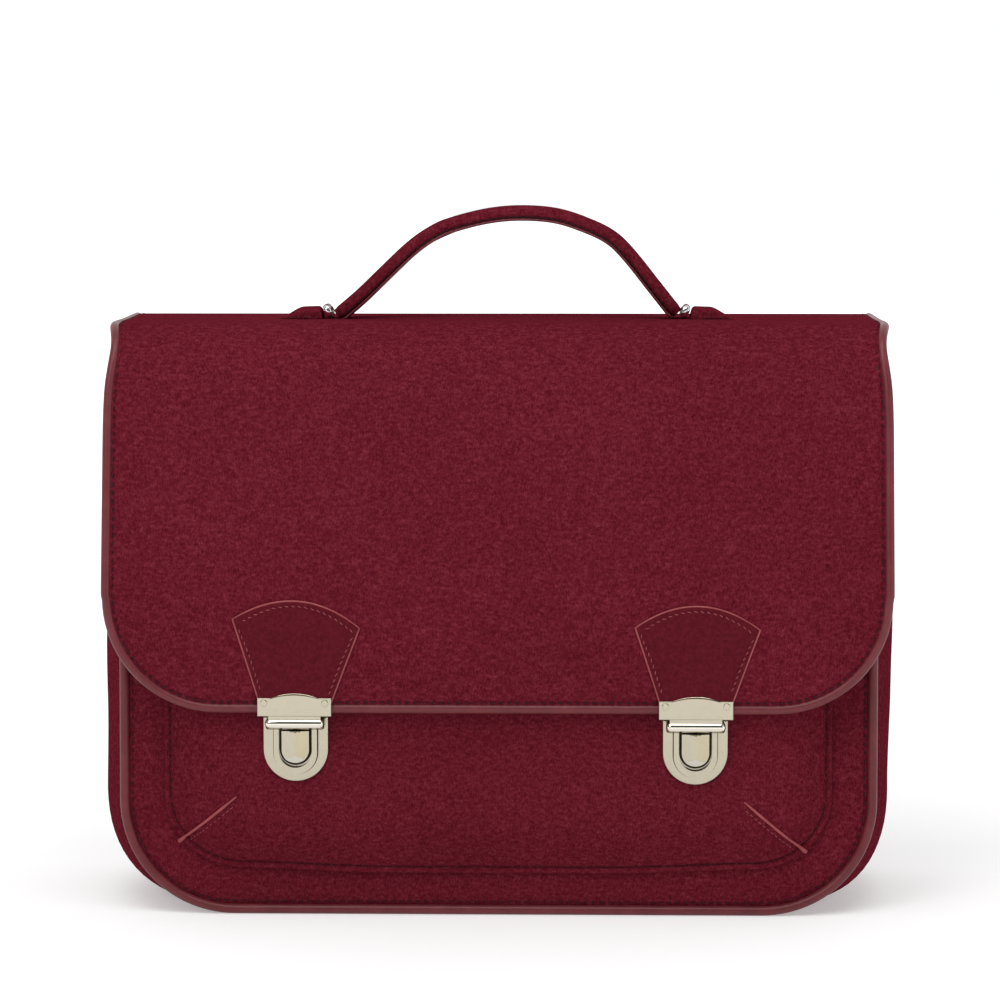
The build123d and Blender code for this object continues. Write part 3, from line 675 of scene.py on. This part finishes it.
def make_darts():
    """The leather-edged fin along each dart, thicker at its outer end, and its stitches."""
    def on_pocket(points, proud):
        x, z = sign * points[:, 0], points[:, 1]
        y = pocket_y(x, z - pocket_rise(x, z - 2))
        return np.column_stack([x, y - proud, z])

    def section(share):
        return circle(0.62 + 0.5 * max(0.0, 1 - share * 9) - 0.3 * max(0.0, share * 6 - 5),
                      10, 1.25)

    for side, sign, outer, inner in (("left", -1, (148.2, 34.6), (120.5, 57.4)),
                                     ("right", 1, (142.9, 31.0), (114.0, 55.8))):
        outer, inner = np.array(outer), np.array(inner)
        line = outer + (inner - outer) * np.linspace(0, 1, 28)[:, None]
        fin = sweep(f"dart_edge_{side}", on_pocket(line, 0.35), section, CUT_EDGE, "body")
        if side == "left":
            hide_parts("pocket_dart_bindings")
        below = on_pocket(line[3:-2] + np.array((-1.7, -2.1)), 0.05)
        seam = stitches(f"dart_stitches_{side}", below, 2.6, 1.6, 0.24, PINK_THREAD, "body")


# ---- flap ---------------------------------------------------------------------------------
def rounded_line(points, radii, step=1.5):
    """A polyline whose inner corners are arcs."""
    line = [np.array(points[0], float)]
    for before, here, after, radius in zip(points, points[1:], points[2:], radii):
        here = np.array(here, float)
        back, ahead = unit(np.array(before) - here), unit(np.array(after) - here)
        opening = math.acos(np.clip(np.dot(back, ahead), -1, 1))
        cut = radius / math.tan(opening / 2)
        start, end = here + back * cut, here + ahead * cut
        centre = here + unit(back + ahead) * radius / sin(opening / 2)
        first, last = start - centre, end - centre
        sweep_angle = pi - opening
        for k in range(13):
            share = k / 12
            line.append(centre + (first * sin((1 - share) * sweep_angle)
                                  + last * sin(share * sweep_angle)) / sin(sweep_angle))
    line.append(np.array(points[-1], float))
    return resample(line, step)


FLAP_LINE = rounded_line(
    [(54.3, 235.0), (53.2, 276.9), (-51.5, 274.6), (-60.0, 246.0), (-74.7, 152.0),
     (-74.7, FLAP_BOTTOM)],
    [8.0, 24.0, 60.0, 60.0])  # Y and Z of the outer face, from the back strip to the front edge
FLAP_SPLIT_Y = 2.0
FLAP_INSET = 2.4  # the felt ends this far inside the piping's outer edge


def flap_directions():
    """Outward unit normals of the flap's side profile."""
    steps = headings(FLAP_LINE)
    return np.stack([steps[:, 1], -steps[:, 0]], axis=1)


FLAP_OUT = flap_directions()


def flap_half_at(inset):
    """Half-width at each profile point, drawn in a little over the front fold."""
    z = FLAP_LINE[:, 1]
    hanging = FLAP_LINE[:, 0] < -40
    half = half_width_at(z, FLAP_HALF_WIDTH - inset, FLAP_BOTTOM + inset, FLAP_RADIUS - inset)
    half = np.where(hanging, half, FLAP_HALF_WIDTH - inset)
    reach = distance_along(FLAP_LINE)
    fold = reach[np.argmax(FLAP_LINE[:, 0] < -52)]
    half = half + 0.5 * smoothstep(reach, fold + 10, fold + 45) * (z > FLAP_BOTTOM + FLAP_RADIUS)
    half = half + 1.0 * np.exp(-((reach - fold + 32) / 13) ** 2)
    return half - 2.3 * np.exp(-((reach - fold) / 14) ** 2)


def flap_rows(inset):
    """Profile rows down to the flap's lower edge, crowded where its corners turn."""
    hanging = np.flatnonzero(FLAP_LINE[:, 0] < -40)
    start = hanging[np.argmax(FLAP_LINE[hanging, 1] < FLAP_BOTTOM + FLAP_RADIUS)]
    rows = list(range(0, start, 2))
    upper = [(FLAP_LINE[r, 0], FLAP_LINE[r, 1], FLAP_OUT[r, 0], FLAP_OUT[r, 1]) for r in rows]
    widths = list(flap_half_at(inset)[rows])
    below = FLAP_LINE[hanging]
    radius = FLAP_RADIUS - inset
    for k in range(33):
        angle = pi / 2 * k / 32
        z = FLAP_BOTTOM + FLAP_RADIUS - radius * sin(angle)
        y = np.interp(-z, -below[:, 1], below[:, 0])
        out = [np.interp(-z, -below[:, 1], FLAP_OUT[hanging, c]) for c in (0, 1)]
        upper.append((y, z, *out))
        widths.append(FLAP_HALF_WIDTH - FLAP_RADIUS + radius * cos(angle))
    return np.array(upper), np.array(widths)


def flap_grid(inset, depth, columns=129, shape=True):
    """Points of a flap layer at a depth under the outer face."""
    rows, widths = flap_rows(inset)
    u = spread(columns, 1.8)
    x = widths[:, None] * u[None, :]
    grid = np.zeros((len(rows), columns, 3))
    grid[:, :, 0] = x
    grid[:, :, 1] = rows[:, None, 0] - rows[:, None, 2] * depth
    grid[:, :, 2] = rows[:, None, 1] - rows[:, None, 3] * depth
    if shape:
        side = FLAP_HALF_WIDTH - FLAP_INSET - np.abs(x)
        hanging = rows[:, None, 0] < -40
        round_in = edge_distance(x, grid[:, :, 2], FLAP_HALF_WIDTH - FLAP_INSET,
                                 FLAP_BOTTOM + FLAP_INSET, FLAP_RADIUS - FLAP_INSET)
        inward = np.where(hanging, round_in, side)
        lift = 0.55 * smoothstep(inward, 4, 22) - 0.85 * (1 - smoothstep(inward, 0.6, 3.4))
        lift -= 0.55 * np.exp(-((inward - 2.9) / 0.7) ** 2)
        lift += ripple_grid(grid, 75, 0.7) * smoothstep(inward, 4, 30)
        lift *= 1 - 0.95 * smoothstep(rows[:, None, 0], -35, -12)
        grid[:, :, 1] += rows[:, None, 2] * lift
        grid[:, :, 2] += rows[:, None, 3] * lift
    return grid, rows


def split_row(rows):
    """The first row in front of the middle of the flap's top."""
    return int(np.argmax((rows[:, 0] < FLAP_SPLIT_Y) & (rows[:, 1] > 260)))


def bend_back(piece):
    """Bakes the placement into the part of the flap that turns over the back fold."""
    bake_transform(piece)


def bend_front(piece):
    """Bakes the placement into the part of the flap that turns over the front fold."""
    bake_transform(piece)


def make_flap():
    """The felt and the lining, each in two pieces that meet at the middle of the top."""
    for kind, outer, inner, material, back_end, back_nodes, front_node in (
            ("felt", flap_grid(FLAP_INSET, 0.0), flap_grid(FLAP_INSET, FELT, shape=False),
             FELT_BODY, math.inf, ("flap_back_strip", "flap_top_panel"), "flap_front_panel"),
            ("cloth", flap_grid(3.6, 3.1, 65, shape=False), flap_grid(3.6, 3.95, 65, shape=False),
             LINING, 42, ("flap_top_lining",), "flap_front_lining")):
        (outer, rows), (inner, _) = outer, inner
        first, cut = int(np.argmax(rows[:, 0] < back_end)), split_row(rows)
        back = shell(f"flap_{kind}_back", outer[first:cut + 1], inner[first:cut + 1], material)
        front = shell(f"flap_{kind}_front", outer[cut:], inner[cut:], material)
        bend_back(back)
        bend_front(front)
        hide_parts(*back_nodes)
        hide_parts(front_node)


def flap_edge(inset, depth):
    """One side of the flap's edge, from the back strip to the middle of the lower edge."""
    rows, widths = flap_rows(inset)
    side = np.column_stack([-widths, rows[:, 0] - rows[:, 2] * depth,
                            rows[:, 1] - rows[:, 3] * depth])
    normals = np.column_stack([np.zeros(len(rows)), rows[:, 2], rows[:, 3]])
    bottom = side[-1]
    across = np.linspace(bottom[0], 0, 50)[1:]
    line = np.column_stack([across, np.full(len(across), bottom[1]),
                            np.full(len(across), bottom[2])])
    normals = np.concatenate([normals, np.repeat(normals[-1:], len(across), axis=0)])
    return np.concatenate([side, line]), normals, split_row(rows)


def mirrored(points):
    return points * np.array([-1.0, 1.0, 1.0])


def even(path, normals, spacing):
    """Resamples a path and the normals along it together."""
    both = np.column_stack([path, normals])
    reach = distance_along(path)
    where = np.linspace(0, reach[-1], max(2, int(reach[-1] / spacing) + 1))
    both = np.stack([np.interp(where, reach, both[:, k]) for k in range(6)], axis=1)
    return both[:, :3], both[:, 3:]


def make_flap_edges():
    """Leather piping round the flap, and the dark stitches just inside it."""
    half, normals, cut = flap_edge(PIPING, 1.75)
    full = np.concatenate([half[cut:], mirrored(half[cut:])[::-1][1:]])
    front = sweep("flap_cord_front", resample(full, 3.0), circle(PIPING, 14), LEATHER)
    bend_front(front)
    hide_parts("flap_front_piping")
    for side in SIDES:
        path = half[:cut + 1] if side == "left" else mirrored(half[:cut + 1])
        back = sweep(f"flap_cord_back_{side}", resample(path, 2.0), circle(PIPING, 14), LEATHER)
        bend_back(back)
    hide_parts("flap_top_piping")

    half, normals, cut = flap_edge(FLAP_INSET + 2.9, 0.1)
    for part, rows, bend in (("front", slice(cut, None), bend_front),
                             ("back", slice(cut), bend_back)):
        path, out = even(half[rows], normals[rows], 2.0)
        for side in SIDES:
            if side == "right":
                path, out = mirrored(path), mirrored(out)
            seam = stitches(f"flap_stitches_{part}_{side}", path, 3.9, 2.5, 0.36, DARK_THREAD,
                            out=out)
            bend(seam)
    strip = [(x, 54.55, 238.5) for x in np.linspace(-172, 172, 100)]
    seam = stitches("strip_stitches", strip, 3.9, 2.5, 0.36, DARK_THREAD, "body",
                    out=(0.0, 1.0, 0.0))


# ---- lock tabs and metal ------------------------------------------------------------------
TAB_BOTTOM = 103.4
TAB_FOOT_HALF = 17.0
TAB_TOP_HALF = {"left": 29.4, "right": 28.7}
TAB_DRIFT = {"left": -1.6, "right": 0.0}
TAB_RISE = {"left": 0.9, "right": 0.0}
TAB_CORNER = 73.3
TAB_PEAK = 83.7
TAB_Y = -75.2


def tab_point(side, u, v, inset=0.0):
    """X and Z on the fan-shaped tab; u runs across and v up, both from the tab's own axes."""
    foot = LOCK_Z[side]
    height = TAB_CORNER - (TAB_BOTTOM - foot)
    arch = TAB_PEAK - TAB_CORNER
    half = TAB_FOOT_HALF + (TAB_TOP_HALF[side] - TAB_FOOT_HALF) * v - inset
    x = half * u + TAB_DRIFT[side] * v
    z = (height + TAB_RISE[side] + arch * (1 - u * u)) * v
    z = z - inset * smoothstep(v, 0.5, 1.0)
    tilt = TAB_TILT[side]
    return (LOCK_X[side] + x * cos(tilt) + z * sin(tilt),
            TAB_BOTTOM + z * cos(tilt) - x * sin(tilt))


def tab_runs(side, inset, foot, up_count, over_count):
    """Points up, over and down the tab's edge, from a share of its height."""
    up, over = np.linspace(foot, 1, up_count), np.linspace(-1, 1, over_count)
    return ([tab_point(side, -1.0, v, inset) for v in up],
            [tab_point(side, u, 1.0, inset) for u in over[1:]],
            [tab_point(side, 1.0, v, inset) for v in up[::-1][1:]])


def make_tab(side):
    """A leather patch with a turned, slightly rounded edge and a stitch line inside it."""
    u = spread(49, 2.0)[None, :].repeat(41, axis=0)
    v = ((spread(41, 2.0) + 1) / 2)[:, None].repeat(49, axis=1)
    x, z = tab_point(side, u, v)
    half = TAB_FOOT_HALF + (TAB_TOP_HALF[side] - TAB_FOOT_HALF) * v
    inward = np.minimum((1 - np.abs(u)) * half, (1 - v) * 46)
    swell = 1.35 * np.sqrt(np.clip(1 - (1 - np.clip(inward / 1.1, 0, 1)) ** 2, 0, 1))
    swell = swell + 0.25 * smoothstep(inward, 4, 10)
    swell = swell - 0.35 * np.exp(-((inward - 2.6) / 0.5) ** 2)
    front = np.stack([x, TAB_Y + 0.35 - swell, z], axis=2)
    back = front.copy()
    back[:, :, 1] = TAB_Y + 0.9
    piece = shell(f"tab_leather_{side}", front, back, TAB_LEATHER, "flap_front")
    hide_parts(f"lock_tab_{side}")

    edge = [(x, TAB_Y - 0.35, z) for run in tab_runs(side, 0.3, 0, 30, 36) for x, z in run]
    rim = sweep(f"tab_edge_{side}", edge, circle(0.5, 8), CUT_EDGE, "flap_front")

    for part, run in zip(("rise", "over", "fall"), tab_runs(side, 2.6, 0.1, 24, 30)):
        path = np.array([(x, TAB_Y - 0.92, z) for x, z in run])
        seam = stitches(f"tab_stitches_{side}_{part}", path, 3.0, 1.9, 0.25, PINK_THREAD,
                        "flap_front", slant=-0.3)


def tongue(half, bottom, top, closed):
    """A U outline with a half-round foot, X and height above the lock's base."""
    centre = bottom + half
    foot = [(-half * cos(pi * k / 24), centre - half * sin(pi * k / 24)) for k in range(25)]
    line = [(-half, top)] + foot + [(half, top)]
    return resample(line + [(-half, top)] if closed else line, 0.7)


def make_lock_lines(side):
    """Painted shade: near-black tubes in the clearance round the button and along the loop's
    shadowed edge on the plate.
    """
    x, z = LOCK_X[side], LOCK_Z[side]
    for name, half, bottom, top, closed, y, section, body in (
            ("button_gap_shade", 7.0, 8.1, 24.4, True, -69.55, superellipse(0.5, 0.16, 2.0, 8), "body"),
            ("loop_edge_shadow", 10.15, 3.45, 25.0, False, -69.85, circle(0.24, 8), "flap_front")):
        line = tongue(half, bottom, top, closed)
        path = np.column_stack([x + line[:, 0], np.full(len(line), y), z + line[:, 1]])
        back = np.repeat(np.array([[0.0, 1.0, 0.0]]), len(path), axis=0)
        # painted shade: a near-black tube in each shadowed gap
        piece = sweep(f"{name}_{side}", path, section, PAINTED_GAP_SHADE, body,
                      directions=(np.cross(headings(path), back), back))


def make_arch(side):
    """A painted dark brown reflection under the hasp plate's arched top edge, drawn as a thin
    tube.
    """
    x, z = LOCK_X[side], LOCK_Z[side]
    across = np.linspace(-11.4, 11.4, 40)
    rise = 39.4 + 2.0 * (1 - (across / 11.4) ** 2)
    path = np.column_stack([x + across, np.full(40, -76.86), z + rise])
    # painted reflection: a thin dark brown tube, thickest in the middle of the arch
    arch = sweep(f"hasp_arch_{side}", path, lambda share: circle(
        0.05 + 0.27 * sin(pi * share) ** 0.5, 8), PAINTED_ARCH_REFLECTION, "flap_front")


def make_button(side):
    """The button's face: two sloping halves that meet in a ridge, with a cut-back foot; the right
    half carries a warmer copy of the nickel as a painted reflection and the foot a lighter copy as
    a painted highlight.
    """
    x, z = LOCK_X[side], LOCK_Z[side]
    half, bottom, top = 6.3, 8.85, 23.8
    rows = np.concatenate([bottom + half * (1 - np.cos(np.linspace(0, pi / 2, 25))),
                           np.linspace(bottom + half, top, 21)[1:]])
    width = half_width_at(rows, half, bottom, half)
    u = np.linspace(-1, 1, 41)
    across = width[:, None] * u[None, :]
    height = np.repeat(rows[:, None], 41, axis=1)
    roof = -73.4 + 0.22 * np.abs(across)
    foot = -73.4 + 0.6 * (12.4 - height)
    crown = -73.4 + 0.9 * (height - 23.2)
    y = np.maximum(np.maximum(roof, foot), crown)
    front = np.stack([x + across, y, z + height], axis=2)
    back = front.copy()
    back[:, :, 1] = -69.8
    piece = shell(f"button_face_{side}", front, back, NICKEL, f"button_{side}")
    piece.data.materials.append(NICKEL_PAINTED_REFLECTION)
    piece.data.materials.append(NICKEL_PAINTED_HIGHLIGHT)
    # painted light: downward-facing faces get the lighter nickel as a painted highlight,
    # right-facing faces of the right half get the warmer nickel as a painted reflection
    for face in piece.data.polygons:
        face.use_smooth = False
        centre = face.center / MM
        if face.normal.z < -0.25 and face.normal.y < -0.3:
            face.material_index = 2
        elif face.normal.x > 0.1 and centre.x > x:
            face.material_index = 1
    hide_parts(f"lock_button_{side}")


def make_bar(side):
    """The rounded bar under the hasp plate."""
    x, z = LOCK_X[side], LOCK_Z[side]
    ends = [0.0, 0.35, 0.9, 1.6, 2.4]
    places = [-13.6 + e for e in ends] + [13.6 - e for e in reversed(ends)]
    swell = [0.25, 0.62, 0.84, 0.96, 1.0]
    swell = swell + swell[::-1]
    path = np.array([(x + p, -74.9, z + 27.8) for p in places])
    sections = iter([circle(2.45 * w, 24) for w in swell])
    bar = sweep(f"hasp_bar_{side}", path, lambda share: next(sections), CHROME_WARM,
                "flap_front")


def soften_metal(node, width):
    """Rounds a metal node's hard edges so that they catch the light."""
    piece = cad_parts[node]
    bevel = piece.modifiers.new("edge", "BEVEL")
    bevel.width = width * MM
    bevel.segments = 2
    bevel.limit_method = "ANGLE"
    bevel.angle_limit = radians(40)
    bevel.harden_normals = False


def paint(node, material):
    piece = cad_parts[node]
    piece.data.materials.clear()
    piece.data.materials.append(material)


# ---- handle -------------------------------------------------------------------------------
def make_handle():
    """A padded felt arch over a leather underside, stitched along both edges."""
    line = smooth_curve(HANDLE_LINE, 14)
    path = np.column_stack([line[:, 0], np.full(len(line), HANDLE_Y), line[:, 1]])
    across = np.repeat(np.array([[0.0, 1.0, 0.0]]), len(path), axis=0)
    up = np.cross(across, headings(path))
    up = up * np.sign(up[len(up) // 2, 2])

    def taper(share):
        return 1 - 0.16 * max(0.0, 1 - share / 0.05) - 0.16 * max(0.0, 1 - (1 - share) / 0.05)

    def felt_section(share):
        scale = taper(share)
        return [(a * scale, b * scale + 0.6) for a, b in
                superellipse(HANDLE_HALF_WIDTH, 3.2, 3.4, 32)]

    def leather_section(share):
        scale = taper(share)
        return [(a * scale, b - 3.0 * scale) for a, b in
                superellipse(HANDLE_HALF_WIDTH - 0.2, 0.75, 4.0, 20)]

    cover = sweep("handle_felt", path, felt_section, FELT_BODY, directions=(across, up))
    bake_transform(cover)
    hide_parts("handle_cover", "handle_end_left", "handle_end_right")
    under = sweep("handle_leather", path, leather_section, LEATHER, directions=(across, up))
    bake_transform(under)
    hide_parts("handle_underside")
    for name, offset in (("handle_stitches_front", -1.0), ("handle_stitches_back", 1.0)):
        trimmed = slice(14, -14)
        edge = path[trimmed] + across[trimmed] * offset * (HANDLE_HALF_WIDTH - 0.3)
        edge = edge + up[trimmed] * -1.7
        seam = stitches(name, edge, 3.2, 2.2, 0.32, DARK_THREAD, out=(0.0, offset, 0.0))
        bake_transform(seam)


def bar_centre(side, reach):
    x, z, outward = RING[side]
    return x + outward * reach * sin(RING_LEAN), z + reach * cos(RING_LEAN)


def make_loop_band(name, centre, body):
    """A thin leather strap end turned round a ring's bar."""
    half_width, inner, outer, turns = 6.0, 1.3, 1.6, 28
    section = ((outer, -half_width), (outer, half_width), (inner, half_width),
               (inner, -half_width))
    rings = []
    for angle in np.arange(turns) * 2 * pi / turns:
        rings.append([(centre[0] + radius * cos(angle), HANDLE_Y + y,
                       centre[1] + radius * sin(angle)) for radius, y in section])
    hoop(name, rings, LEATHER, body)


def make_ring(side):
    """A rectangular ring: round bars for the straps, broader flattened legs."""
    x, z, outward = RING[side]
    along = np.array((outward * sin(RING_LEAN), 0.0, cos(RING_LEAN)))
    normal = np.array((outward * cos(RING_LEAN), 0.0, -sin(RING_LEAN)))
    across = np.array((0.0, 1.0, 0.0))
    centre = np.array((x, HANDLE_Y, z))
    half, corner, turns, sides = 8.4, 1.2, 8, 16
    middles = []
    for quarter, (sy, sz) in enumerate(((1, 1), (-1, 1), (-1, -1), (1, -1))):
        for k in range(turns + 1):
            angle = pi / 2 * (quarter + k / turns)
            middles.append(((half - corner) * sy + corner * cos(angle),
                            (RING_REACH - corner) * sz + corner * sin(angle), angle))
    rings = []
    for y, reach, angle in middles:
        out = across * cos(angle) + along * sin(angle)
        leg = abs(cos(angle))
        broad, deep = 1.15 + 0.8 * leg, 1.15 - 0.2 * leg
        rings.append([centre + across * y + along * reach
                      + normal * broad * cos(2 * pi * j / sides)
                      + out * deep * sin(2 * pi * j / sides) for j in range(sides)])
    piece = hoop(f"ring_wire_{side}", rings, CHROME, f"ring_{side}")
    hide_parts(f"handle_ring_{side}")


def flap_surface(y):
    """Height of the flap's top face."""
    top = FLAP_LINE[(FLAP_LINE[:, 1] > 268)]
    order = np.argsort(top[:, 0])
    return float(np.interp(y, top[order, 0], top[order, 1]))


def make_chape(side):
    """The felt tab that holds the ring: full at the ring, thinning out along the flap."""
    bar_x, bar_z = bar_centre(side, RING_REACH)
    outward = RING[side][2]
    length, full_height = 20.5, 5.5
    rows, columns = 30, 25
    top = np.zeros((rows, columns, 3))
    bottom = np.zeros((rows, columns, 3))
    for i, share in enumerate(np.linspace(0, 1, rows)):
        height = full_height * (1 - 0.12 * share - 0.80 * smoothstep(share, 0.45, 1.0))
        nose = math.sqrt(max(0.0, 1 - (1 - min(share / 0.12, 1.0)) ** 2))
        tail = math.sqrt(max(0.0, 1 - (1 - min((1 - share) / 0.08, 1.0)) ** 2))
        for j, v in enumerate(np.linspace(-1, 1, columns)):
            y = HANDLE_Y + v * HANDLE_HALF_WIDTH * (0.94 + 0.06 * tail)
            x = bar_x + outward * (1.9 + length * share)
            base = flap_surface(y) + 0.25
            crown = max(0.0, 1 - abs(v) ** 5) ** 0.5
            lift = height * (0.25 + 0.75 * nose * tail) * (0.35 + 0.65 * crown)
            top[i, j] = (x, y, base + lift)
            bottom[i, j] = (x, y, base)
    piece = shell(f"chape_felt_{side}", top, bottom, FELT_BODY, "flap_top")
    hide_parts(f"handle_chape_{side}")
    make_loop_band(f"chape_loop_{side}", (bar_x, bar_z), "flap_top")
    line = np.array([(bar_x + outward * (8.0 + k), HANDLE_Y - HANDLE_HALF_WIDTH - 0.1, 276.2)
                     for k in range(0, 12)])
    stitches(f"chape_stitches_{side}", line, 3.0, 2.0, 0.3, DARK_THREAD, "flap_top")


# ---- build --------------------------------------------------------------------------------
make_front_panel()
make_back_panel()
make_gusset()
make_inner_walls()
make_body_piping()
make_mouth_binding()
make_pocket()
make_darts()
make_flap()
make_flap_edges()
make_handle()
for side in SIDES:
    make_tab(side)
    make_lock_lines(side)
    make_button(side)
    make_arch(side)
    make_bar(side)
    make_chape(side)
    make_loop_band(f"handle_loop_{side}", bar_centre(side, -RING_REACH), f"ring_{side}")
    make_ring(side)
    for node in ("hasp", "hasp_clamp", "hasp_rivets", "lock_base", "lock_back_plate",
                 "lock_studs"):
        paint(f"{node}_{side}", NICKEL)
    for node, width in (("hasp", 0.3), ("lock_base", 0.25)):
        soften_metal(f"{node}_{side}", width)
    paint(f"lock_spring_{side}", STEEL)
for node in ("front_stiffener", "back_stiffener", "base_board"):
    paint(node, BOARD)
paint("handle_core", CORD)


# ---- stage, light and camera --------------------------------------------------------------
def make_stage():
    """A white floor that runs out of sight and glows more with distance, as a sweep does."""
    material, tree, shader, place = new_material("pale_floor")
    tone = tree.ramp(tree.noise(place, 3, 2, 0.5), [(0.3, (0.70, 0.70, 0.70)),
                                                    (0.7, (0.73, 0.73, 0.73))])
    tree.link(tone, shader.inputs["Base Color"])
    shader.inputs["Roughness"].default_value = 0.8
    shader.inputs["Specular IOR Level"].default_value = 0.0
    distance = tree.add("VectorMath", {})
    distance.operation = "LENGTH"
    tree.link(place, distance.inputs[0])
    shader.inputs["Emission Color"].default_value = (1, 1, 1, 1)
    tree.link(tree.span(distance.outputs["Value"], 0.36, 1.0, 0.25, 2.2),
              shader.inputs["Emission Strength"])
    mesh = bpy.data.meshes.new("floor")
    reach = 60.0
    mesh.from_pydata([(-reach, -reach, 0), (reach, -reach, 0), (reach, reach, 0),
                      (-reach, reach, 0)], [], [(0, 1, 2, 3)])
    floor = bpy.data.objects.new("floor", mesh)
    bpy.context.collection.objects.link(floor)
    mesh.materials.append(material)


def make_light(name, place, aim, size, energy):
    data = bpy.data.lights.new(name, "AREA")
    data.shape = "RECTANGLE"
    data.size, data.size_y = size
    data.energy = energy
    lamp = bpy.data.objects.new(name, data)
    lamp.location = place
    lamp.rotation_euler = (Vector(aim) - Vector(place)).to_track_quat("-Z", "Y").to_euler()
    bpy.context.collection.objects.link(lamp)


def make_world():
    """A studio that is dim behind the camera and white behind the bag."""
    world = bpy.data.worlds.new("studio")
    bpy.context.scene.world = world
    world.use_nodes = True
    tree = Tree(world.node_tree)
    background = tree.nodes["Background"]
    parts = tree.add("SeparateXYZ", {})
    tree.link(tree.add("TexCoord", {}).outputs["Generated"], parts.inputs["Vector"])
    depth = tree.span(parts.outputs["Y"], 0.0, 1.0, -1.0)
    tone = tree.ramp(depth, [(at, (grey,) * 3) for at, grey in
                             ((0.0, 0.10), (0.35, 0.22), (0.6, 0.7), (0.85, 1.0))])
    tree.link(tone, background.inputs["Color"])
    background.inputs["Strength"].default_value = 1.02


def make_camera():
    camera = bpy.data.cameras.new("camera")
    camera.sensor_width = 36
    camera.lens = 118.8
    camera.clip_end = 50
    eye = bpy.data.objects.new("camera", camera)
    eye.location = (0.035, -1.572, 0.335)
    eye.rotation_euler = Euler((radians(90 - 5.3), 0, radians(1.28)), "XYZ")
    bpy.context.collection.objects.link(eye)
    bpy.context.scene.camera = eye


make_stage()
make_light("top_softbox", (-0.1, -0.9, 1.9), (0, 0, 0.1), (1.6, 1.2), 22)
make_light("front_softbox", (-1.1, -1.9, 1.5), (0, 0, 0.12), (1.0, 1.0), 13)
make_light("right_fill", (1.7, -1.3, 0.8), (0, 0, 0.15), (0.8, 1.4), 5)
make_world()
make_camera()
bpy.context.scene.view_settings.view_transform = "Standard"
